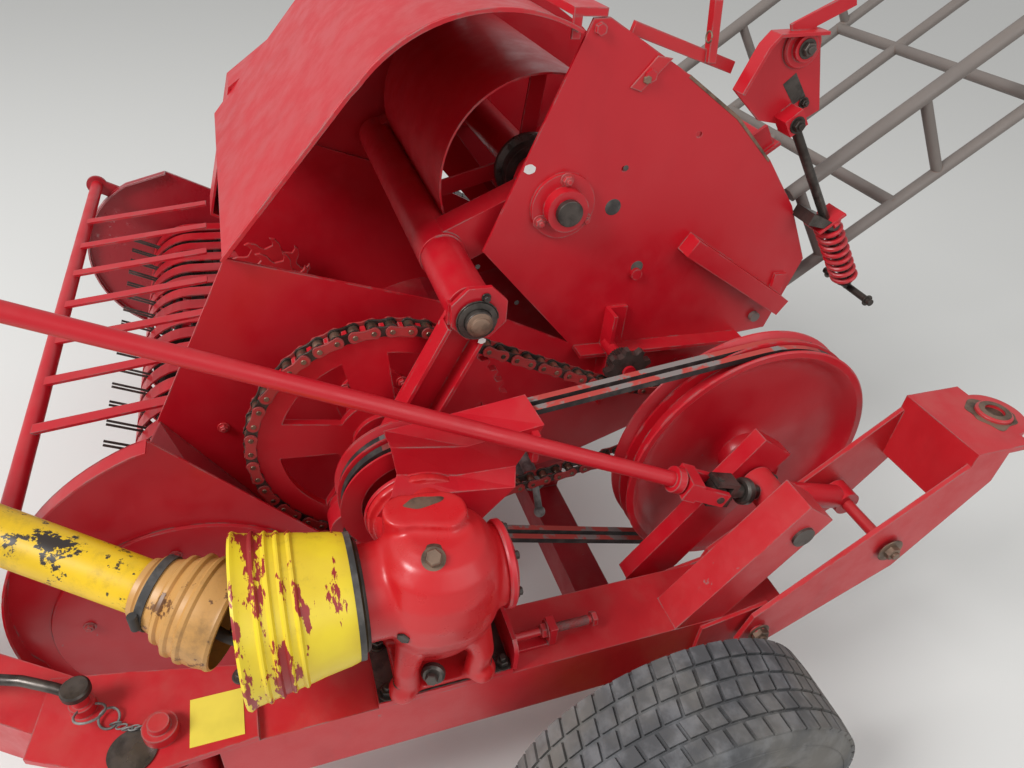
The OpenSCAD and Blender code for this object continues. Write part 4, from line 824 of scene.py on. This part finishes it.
# Height, radii across and along the machine, squareness
sections = ((-150, 50, 58, 2.6), (-118, 62, 68, 2.8), (-80, 82, 84, 2.6), (-42, 96, 96, 2.4),
            (0, 102, 102, 2.2), (40, 99, 99, 2.2), (72, 86, 88, 2.3), (94, 66, 70, 2.3), (106, 42, 48, 2.2))
body.loft(*[housing_ring(*row) for row in sections])
body.disc((gx, gy - 20, gz), "-y", 120, 74, 48)
body.disc((gx, gy - 130, gz), "-y", 16, 86, 56)
body.disc((gx - 20, gy, gz), "-x", 120, 76, 48)
body.disc((gx - 130, gy, gz), "-x", 16, 88, 56)
body.disc((gx, gy + 10, gz), "y", 92, 66, 48)
kidney = arc(26, -14, 39, 190, 350, 11) + arc(38, 42, 33, -10, 190, 11)
body.prism(kidney, (gx - 4, gy - 2, gz + 50), "z", 70)
for sx, sy in ((-1, -1), (1, -1), (1, 1), (-1, 1)):
    fx, fy = gx + (52 if sx > 0 else -62), gy + 68 * sy
    body.lathe([(0, 0), (24, 0), (24, 20), (17, 34), (0, 34)], (fx, fy, TOP + 12), "z", 28)
    top = Vector((gx + 46 * sx, gy + 46 * sy, gz - 60))
    low = Vector((fx - 6 * sx, fy - 10 * sy, TOP + 16))
    for off in (-8, 8):
        body.pipe([top + Vector((0, off, 0)), (top + low) / 2 + Vector((11 * sx, 11 * sy, 0)), low], 21, 14)
body.slab((gx - 72, gx + 58), (gy - 80, gy + 80), (TOP + 12, TOP + 22))
cast(body, ["gearbox"])
trim = Piece("gearbox_faces", "frame", "red", 1.0)
trim.slab((686, 812), (gy - 110, gy + 124), (TOP, TOP + 12))
wall = [(686, TOP + 10), (812, TOP + 10), (812, TOP + 52), (806, TOP + 64), (794, TOP + 72), (700, TOP + 72),
        (688, TOP + 60)]
trim.loft([(x, gy + 122, z) for x, z in wall], [(x, gy + 130, z) for x, z in wall])
trim.lathe([(20, 0), (70, 0), (72, 3), (72, 11), (68, 14), (20, 14)], (gx, gy + 98, gz), "y", 56)
trim.lathe([(20, 0), (56, 0), (52, 6), (20, 6)], (gx, gy + 112, gz), "y", 48)
trim.lathe([(60, 0), (87, 0), (88, 2), (88, 7), (60, 7)], (gx, gy - 144, gz), "-y", 56)
trim.lathe([(22, 0), (89, 0), (90, 2), (90, 7), (22, 7)], (gx - 142, gy, gz), "-x", 56)
trim.end(["gearbox"])
stub = Piece("gearbox_stub", "frame", "greasy", 0.6)
stub.rod((gx, gy - 140, gz), "-y", 32, 17)
stub.slab((688, 810), (gy - 109, gy + 120), (TOP + 11, TOP + 13))
stub.lathe([(60, 0), (84, 0), (86, 4), (84, 9), (60, 9)], (gx, gy - 118, gz), "-y", 56)
for a in range(0, 360, 60):
    x, z = polar((gx, gz), 59, a)
    stub.bolt((x, gy + 112, z), "y", 7, 6)
for x, y in ((gx - 62, gy - 68), (gx + 52, gy - 68), (gx + 52, gy + 68), (gx - 62, gy + 68)):
    stub.bolt((x, y, TOP + 46), "z", 12, 10, stud=8)
stub.end(["gearbox"])
vent = Piece("gearbox_vent", "frame", "brown_steel", 0.6)
vent_at, vent_up = Vector((gx + 40, gy - 18, gz + 92)), Vector((0.45, -0.12, 0.86)).normalized()
vent.lathe([(0, -8), (22, -8), (24, -2), (24, 4), (19, 8), (0, 8)], vent_at, vent_up, 28)
vent.lathe([(0, 8), (16, 8), (18, 10), (18, 13), (0, 13)], vent_at, vent_up, 28)
vent.hexagon(vent_at + vent_up * 13, vent_up, 13, 14, 20)
vent.end()
worn = Piece("gearbox_worn_patch", "frame", "brown_steel", 0)
worn.prism([((11 + 2 * math.sin(3 * a)) * math.cos(a), (30 + 2 * math.sin(4 * a + 1)) * math.sin(a))
            for a in circle(30)], (gx - 50, gy - 12, gz + 118.6), "z", 1.8)
worn.end()
plug = Piece("gearbox_drain", "frame", "greasy", 0.6)
plug_axis = (0.9, -0.4, 0.25)
plug.lathe([(0, 0), (20, 0), (20, 8), (16, 12), (0, 12)], (gx + 58, gy - 18, TOP + 62), plug_axis, 24)
plug.hexagon((gx + 68, gy - 23, TOP + 65), plug_axis, 11, 11)
plug.end()

# Folded sheet over the belts
cover = Piece("belt_cover_sheet", "frame", "red", 0)
rows = (
    [(535, -125, 845), (604, -126, 869), (604, -117, 809), (638, -134, 795), (638, -158, 757)],
    [(535, 0, 862), (612, -4, 853), (604, -15, 784), (638, -20, 779), (638, -62, 727)],
    [(535, 123, 880), (604, 135, 866), (604, 91, 782), (638, 80, 765), (638, 22, 701)],
)
cover.faces([p for row in rows for p in row],
            [(i * 5 + j, i * 5 + j + 1, i * 5 + j + 6, i * 5 + j + 5) for i in range(2) for j in range(4)])
sheet_obj = cover.end(["belt_cover"])
sheet_obj.data.shade_flat()
thick = sheet_obj.modifiers.new("thick", "SOLIDIFY")
thick.thickness = 0.003
thick.offset = 0
edge = sheet_obj.modifiers.new("edge", "BEVEL")
edge.width = 0.0025
edge.segments = 3
edge.limit_method = "ANGLE"
edge.angle_limit = math.radians(12)
arm = Piece("belt_cover_arm", "frame", "red", 1.0)
arm.slab((540, 604), (118, 130), (846, 858))
arm.slab((604, 622), (112, 124), (800, 858))
arm.end(["belt_cover"])
bolts("belt_cover_bolts", "frame", "greasy", [((638, -96, 766), "x", 8, 6, 3)])

# Locking pin with its bent handle, ring and chain at the drawbar
LOCK = (690, -635)
pin = Piece("lock_pin_handle", "frame", "greasy", 0)
pin.pipe([(*LOCK, 536), (672, -668, 545), (648, -715, 548), (622, -775, 540), (600, -840, 520)], 8.5, 14)
pin.lathe([(0, 0), (20, 0), (22, 3), (22, 12), (19, 15), (0, 15)], (*LOCK, TOP + 56), "z", 28)
pin.end()
clip = Piece("lock_pin_ring", "frame", "cast", 0)
for r, x, y, z, tilt in ((22, 716, -620, 524, 0.5), (15, 722, -596, 508, -0.3)):
    clip.pipe([(x + r * math.cos(a), y + r * math.sin(a), z + r * tilt * math.cos(a)) for a in circle(28)],
              2.0, 8, closed=True)
for i in range(7):
    link = Vector((733 + 5 * i + 4 * math.sin(i), 9 * i - 586, 508))
    if i % 2:
        oval = [(3.6 * math.cos(a), 8 * math.sin(a), 0) for a in circle(16)]
    else:
        oval = [(0.8, 8 * math.sin(a), 3.2 * math.cos(a)) for a in circle(16)]
    clip.pipe([link + Vector(p) for p in oval], 1.4, 6, closed=True)
clip.end()
plates = Piece("drawbar_washers", "frame", "greasy", 0.6)
plates.lathe([(0, 0), (34, 0), (36, 1), (36, 3), (0, 3)], (784, -560, TOP + 12), "z", 40)
plates.end()

# Rear hitch: raised ring and worn patch at its hole, the ends of its pins, and its screw
plate = Piece("hitch_ring", "hitch", "red_worn", 1.0)
plate.lathe([(19, 0), (34, 0), (34, 5), (30, 8), (19, 8)], HITCH, "z", 48)
plate.end()
patch = Piece("hitch_worn_patch", "hitch", "brown_steel", 0)
patch.prism([((44 + 6 * math.sin(3 * a) + 4 * math.cos(5 * a)) * math.cos(a),
              (46 + 5 * math.sin(2 * a + 1) + 3 * math.cos(7 * a)) * math.sin(a))
             for a in circle(40)], (HITCH[0], HITCH[1] - 4, HITCH[2] - 0.4), "z", 1.1)
patch.lathe([(18.2, 0), (29, 0), (29, 1.0), (18.2, 1.0)], (HITCH[0], HITCH[1], HITCH[2] + 7.6), "z", 40)
patch.rod((PLATE_X, 780, 625), "x", 3, 27, 36)
patch.bolt((PLATE_X + 3, 780, 625), "x", 15, 11, washer=False, stud=5)
patch.bolt((PLATE_X, 540, 455), "x", 17, 12, stud=5)
patch.end()
SCREW_U = Vector((0, 203, -63)).normalized()
boot = Piece("screw_boot", "screw", "greasy", 0.6)
boot.lathe([(14.2, 0), (24, 0), (26, 3), (26, 14), (22, 18), (14.2, 18)],
           Vector(SCREW) - SCREW_U * 52, -SCREW_U, 28)
boot.lathe([(12.2, 0), (17, 0), (19, 4), (17, 8), (12.2, 8)], Vector(SCREW) + SCREW_U * 33, SCREW_U, 28)
boot.end()
# Painted collar on the greasy screw
screw_mesh = NODES["hitch_screw"].data
screw_mesh.materials.append(MATS["red_worn"])
for face in screw_mesh.polygons:
    x, y, z = Vector(face.center) * 1000
    face.material_index = int(25 < math.hypot(y - SCREW[1], z - SCREW[2]) < 34 and 660 < x < 736)

# Adjusting bolt and its block on the beam
block = Piece("adjuster_block", "frame", "red", 1.5)
block.slab((748, 780), (118, 134), (TOP, TOP + 46))
block.slab((748, 780), (60, 120), (TOP, TOP + 8))
block.end()
bx, bz = 764, TOP + 28
screw = Piece("adjuster_bolt", "frame", "red_worn", 0.4)
screw.rod((bx, 56, bz), "y", 150, 7.5, 18)
for i in range(24):
    screw.lathe([(7, -1.2), (9.2, 0), (7, 1.2)], (bx, 138 + i * 2.6, bz), "y", 18)
screw.bolt((bx, 206, bz), "y", 14, 10, washer=False)
screw.bolt((bx, 118, bz), "-y", 14, 10)
screw.end()

# Hood: straight front slope, then an arch, with a thin edge that stands out past the side plate
HOOD_FAR = -463
line = [(-338, 1057), (-228, 1187.5), (-118, 1318)] + arc(123, 1145, 294, 141, 64.2, 22)
hood = Piece("hood_sheet", "frame", "red", 0.8)
hood.side(HOOD_FAR - 5, SIDE_X + 1, strip(line[::-1], -3.5))
hood.side(SIDE_X, SIDE_X + 19, strip(line[::-1], -3))
hood.side(SIDE_X + 17, SIDE_X + 20, strip(line[::-1], -7))
hood.side(HOOD_FAR - 5, HOOD_FAR, line + [(114, 904), (-337, 1040)])
hood.slab((HOOD_FAR, SIDE_X), (240, 300), (1432.2, 1446))
for x in (HOOD_FAR, SIDE_X - 6):
    hood.slab((x, x + 6), (240, 256), (1398, 1434))
hood.end(["hood"])

# Swing frame with its curved back sheet, open at the near end, and the ends of its shafts
ARM_FAR, ARM_NEAR = -425, 189
swing = Piece("swing_sheets", "swing", "red", 1.0)
swing.rod((ARM_FAR, *HEAD), "x", 684, 45, 44)
swing.lathe([(24, 0), (42, 0), (42, 198.7), (40, 199.7), (32, 199.7), (30, 190), (24, 190)],
            (249, *HEAD), "x", 44)
for x in (ARM_NEAR, ARM_FAR):
    swing.side(x, x + 60, lane(HEAD, PIVOT, 80))
    swing.rod((x - 10, *PIVOT), "x", 80, 62, 48)
swing.rod((ARM_FAR, *PIVOT), "x", 674, 38, 36)
back = arc(*PIVOT, 200, -150, -290, 28)
swing.side(ARM_FAR + 40, ARM_NEAR - 20, strip(back, 4))
swing.side(ARM_FAR + 40, ARM_FAR + 46, back + arc(*PIVOT, 50, -290, -150, 4))
for a in (-164, -276):
    swing.side(60, 66, lane(PIVOT, polar(PIVOT, 198, a), 34))
swing.end(["swing_frame"])
ends = Piece("swing_shaft_ends", "swing", "greasy", 1.0)
ends.rod((239, *PIVOT), "x", SIDE_X + 44 - 239, 25, 36)
ends.rod((-503, *PIVOT), "x", 98, 25, 36)
ends.rod((ROD_X0, *HEAD), "x", 502 - ROD_X0, 23.4, 36)
ends.lathe([(38, 0), (58, 0), (60, 4), (60, 20), (72, 24), (72, 34), (60, 38), (58, 60), (38, 60)],
           (70, *PIVOT), "x", 40)
for a in circle(8):
    ends.bolt((104, PIVOT[0] + 66 * math.cos(a), PIVOT[1] + 66 * math.sin(a)), "x", 6, 5, washer=False)
ends.end(["swing_frame"])

# Connecting rod: a channel with a plate at its head, the grease caps and the crank pin
caps = Piece("rod_caps", "rod", "greasy", 0.8)
caps.lathe([(24.2, 0), (33, 0), (35, 2), (34, 7), (24.2, 8)], (484, *HEAD), "x", 36)
caps.pipe([(488, HEAD[0] + 36 * math.cos(a * 0.3), HEAD[1] + 36 * math.sin(a * 0.3)) for a in range(20)],
          1.3, 8)
LINK = Vector((HEAD[0] - CRANK[0], HEAD[1] - CRANK[1])).normalized()
CPIN = (CRANK[0] - THROW * LINK.x, CRANK[1] - THROW * LINK.y)
caps.lathe([(0, 0), (19, 0), (21, 2), (20, 6), (0, 7)], (492, *CPIN), "x", 32)
caps.bolt((484, HEAD[0] + 14, HEAD[1] + 40), "x", 6, 7)
caps.bolt((484, CPIN[0], CPIN[1] + 34), "x", 6.5, 8)
caps.rod((ROD_X0 + 1, *CPIN), "x", 491 - ROD_X0, 22, 32)
caps.end(["connecting_rod"])
channel = Piece("rod_channel", "rod", "red", 1.0)
pin_at, head_at = Vector(CPIN), Vector(HEAD)
cross = Vector((-LINK.y, LINK.x))
channel.side(ROD_X0, ROD_X0 + 10, lane(pin_at, head_at, 72))
for off in (-33, 33):
    channel.side(ROD_X0, 483, lane(pin_at + cross * off + LINK * 25, head_at + cross * off - LINK * 34, 7))
channel.lathe([(24, 0), (34, 0), (34, 484 - ROD_X0), (24, 484 - ROD_X0)], (ROD_X0, *HEAD), "x", 40)
channel.rod((ROD_X0, *CPIN), "x", 484 - ROD_X0, 46, 48)
octagon = [polar(head_at + LINK * 10, 52, 22.5 + 45 * k) for k in range(8)]
channel.side(474, 483.5, octagon)
channel.side(462, 475, lane(octagon[3], octagon[4], 7))
channel.end(["connecting_rod"])
spots = Piece("rod_worn_spots", "rod", "white", 0)
for f, off, r in ((0.93, -30, 7), (0.55, 6, 9)):
    c = pin_at + (head_at - pin_at) * f + cross * off
    x = 483.4 if f > 0.9 else ROD_X0 + 9.8
    spots.prism(fleck(r, r * 0.8, 0.15), (x, *c), "x", 0.7)
spots.end()

# Left end sheet of the pickup: thin edge, flat inner disc
sheet_rim = [(-491, 834)] + arc(-350, 420, 439.5, 112, 188, 22) + arc(-440, 400, 339.5, 192, 357, 44)
sheet_l = Piece("end_sheet_left", "pickup", "red", 0.8)
sheet_l.side(END_X, END_X + 4, sheet_rim)
sheet_l.side(END_X, END_X + 34, strip(sheet_rim, 4))
sheet_l.lathe([(20, 3), (255, 3), (258, 5), (256, 11), (240, 12), (60, 12), (56, 9), (20, 9)],
              (END_X, *REEL), "x", 72)
sheet_l.end(["dish_left"])
bolts("end_sheet_bolts", "pickup", "red_worn",
      [((END_X + 12, REEL[0] + 195 * math.cos(a), REEL[1] + 195 * math.sin(a)), "x", 8.5, 6, 2)
       for a in (0.4, 1.65, 2.9, 4.2, 5.4)])

hub = Piece("cross_shaft_end", "swing", "brown_steel", 0.8)
hub.lathe([(0, 0), (22, 0), (22, 2), (16, 4), (16, 8), (11, 10), (0, 10)], (502, *HEAD), "x", 36)
hub.end()

# Large pulley: two grooves and a dished web
dish = Piece("pulley_dish", "countershaft", "red", 0)
outside = [(24.5, 571), (46, 571), (48, 568), (50, 550), (56, 545), (72, 541), (150, 541), (206, 544),
           (230, 551), (244, 563), (252, 576), (260, 582), (272, 583), (275, 581)]
grooves = [(274, 577), (256, 564), (256, 550), (274, 547), (274, 543), (256, 540), (256, 526), (274, 512)]
inside = [(275, 509), (272, 507), (258, 508), (248, 516), (238, 530), (222, 537), (150, 535), (60, 535),
          (50, 525), (48, 500), (24.5, 500)]
dish.lathe(outside + grooves + inside, (0, *COUNTER), "x", 120)
dish.end(["large_pulley"])
bar = Piece("countershaft_bar", "countershaft", "greasy", 1.0)
bar.rod((SIDE_X + 4, *COUNTER), "x", 646 - SIDE_X, 24.9, 40)
bar.slab((572, 598), (COUNTER[0] - 5, COUNTER[0] + 5), (COUNTER[1] + 22, COUNTER[1] + 30))
bar.end(["large_pulley"])

# Feeder: rows of hooked teeth on its shaft
hooks = Piece("feeder_hooks", "feeder", "red_worn", 0.8)
# Angle and radius along one tooth
tooth = ((-14, 78), (-8, 84), (-2, 98), (6, 108), (13, 109), (9, 100), (8, 88))
for i in range(9):
    x = -407 + i * 638 / 8
    hooks.side(x - 4, x + 4, [polar(FEED, r, 36 * k + da + i * 22) for k in range(10) for da, r in tooth])
hooks.rod((-449, *FEED), "x", 722, 34, 32)
hooks.rod((-471, *FEED), "x", 766, 20, 24)
hooks.end(["feeder_rotor"])

# Nut on the countershaft, knurled end of the idler's pin
nuts = Piece("countershaft_nut", "countershaft", "greasy", 0.6)
nuts.bolt((650, *COUNTER), "x", 20, 14)
nuts.end()
knurl = Piece("idler_knurl", "idler", "greasy", 0.4)
ridge = ((24.5, -1.7), (24.5, 1.7), (28.2, 1.1), (28.2, -1.1))
for a in circle(30):
    c, s = math.cos(a), math.sin(a)
    outline = [(IDLER[0] + r * c - w * s, IDLER[1] + r * s + w * c) for r, w in ridge]
    knurl.side(CHAIN_X - 40, CHAIN_X - 12, outline)
knurl.end()


# Floor and light
floor_mesh = bpy.data.meshes.new("floor")
FAR = 30.0
floor_mesh.from_pydata([(-FAR, -FAR, 0), (FAR, -FAR, 0), (FAR, FAR, 0), (-FAR, FAR, 0)], [], [(0, 1, 2, 3)])
floor = bpy.data.objects.new("floor", floor_mesh)
scene.collection.objects.link(floor)
s = Shader("floor_pale")
floor_mesh.materials.append(s.done((0.72, 0.72, 0.70), 0.9, 0.0, 0.2))
floor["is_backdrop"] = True

world = bpy.data.worlds.new("studio")
scene.world = world
world.use_nodes = True
sky = world.node_tree.nodes["Background"].inputs
sky["Color"].default_value = (1, 1, 1, 1)
sky["Strength"].default_value = 0.55


def area(name, place, target, size, power):
    """A square lamp that looks at a target."""
    data = bpy.data.lights.new(name, "AREA")
    data.size = size
    data.energy = power
    lamp = bpy.data.objects.new(name, data)
    lamp.location = place
    lamp.rotation_mode = "QUATERNION"
    lamp.rotation_quaternion = (Vector(target) - Vector(place)).to_track_quat("-Z", "Y")
    scene.collection.objects.link(lamp)


area("key", (1.5, -4.5, 5.0), (0, 0, 0.8), 2.2, 330)
area("fill", (5.0, 2.5, 4.0), (0, 0, 0.6), 4.0, 90)

scene.view_settings.view_transform = "Standard"
low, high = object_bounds()
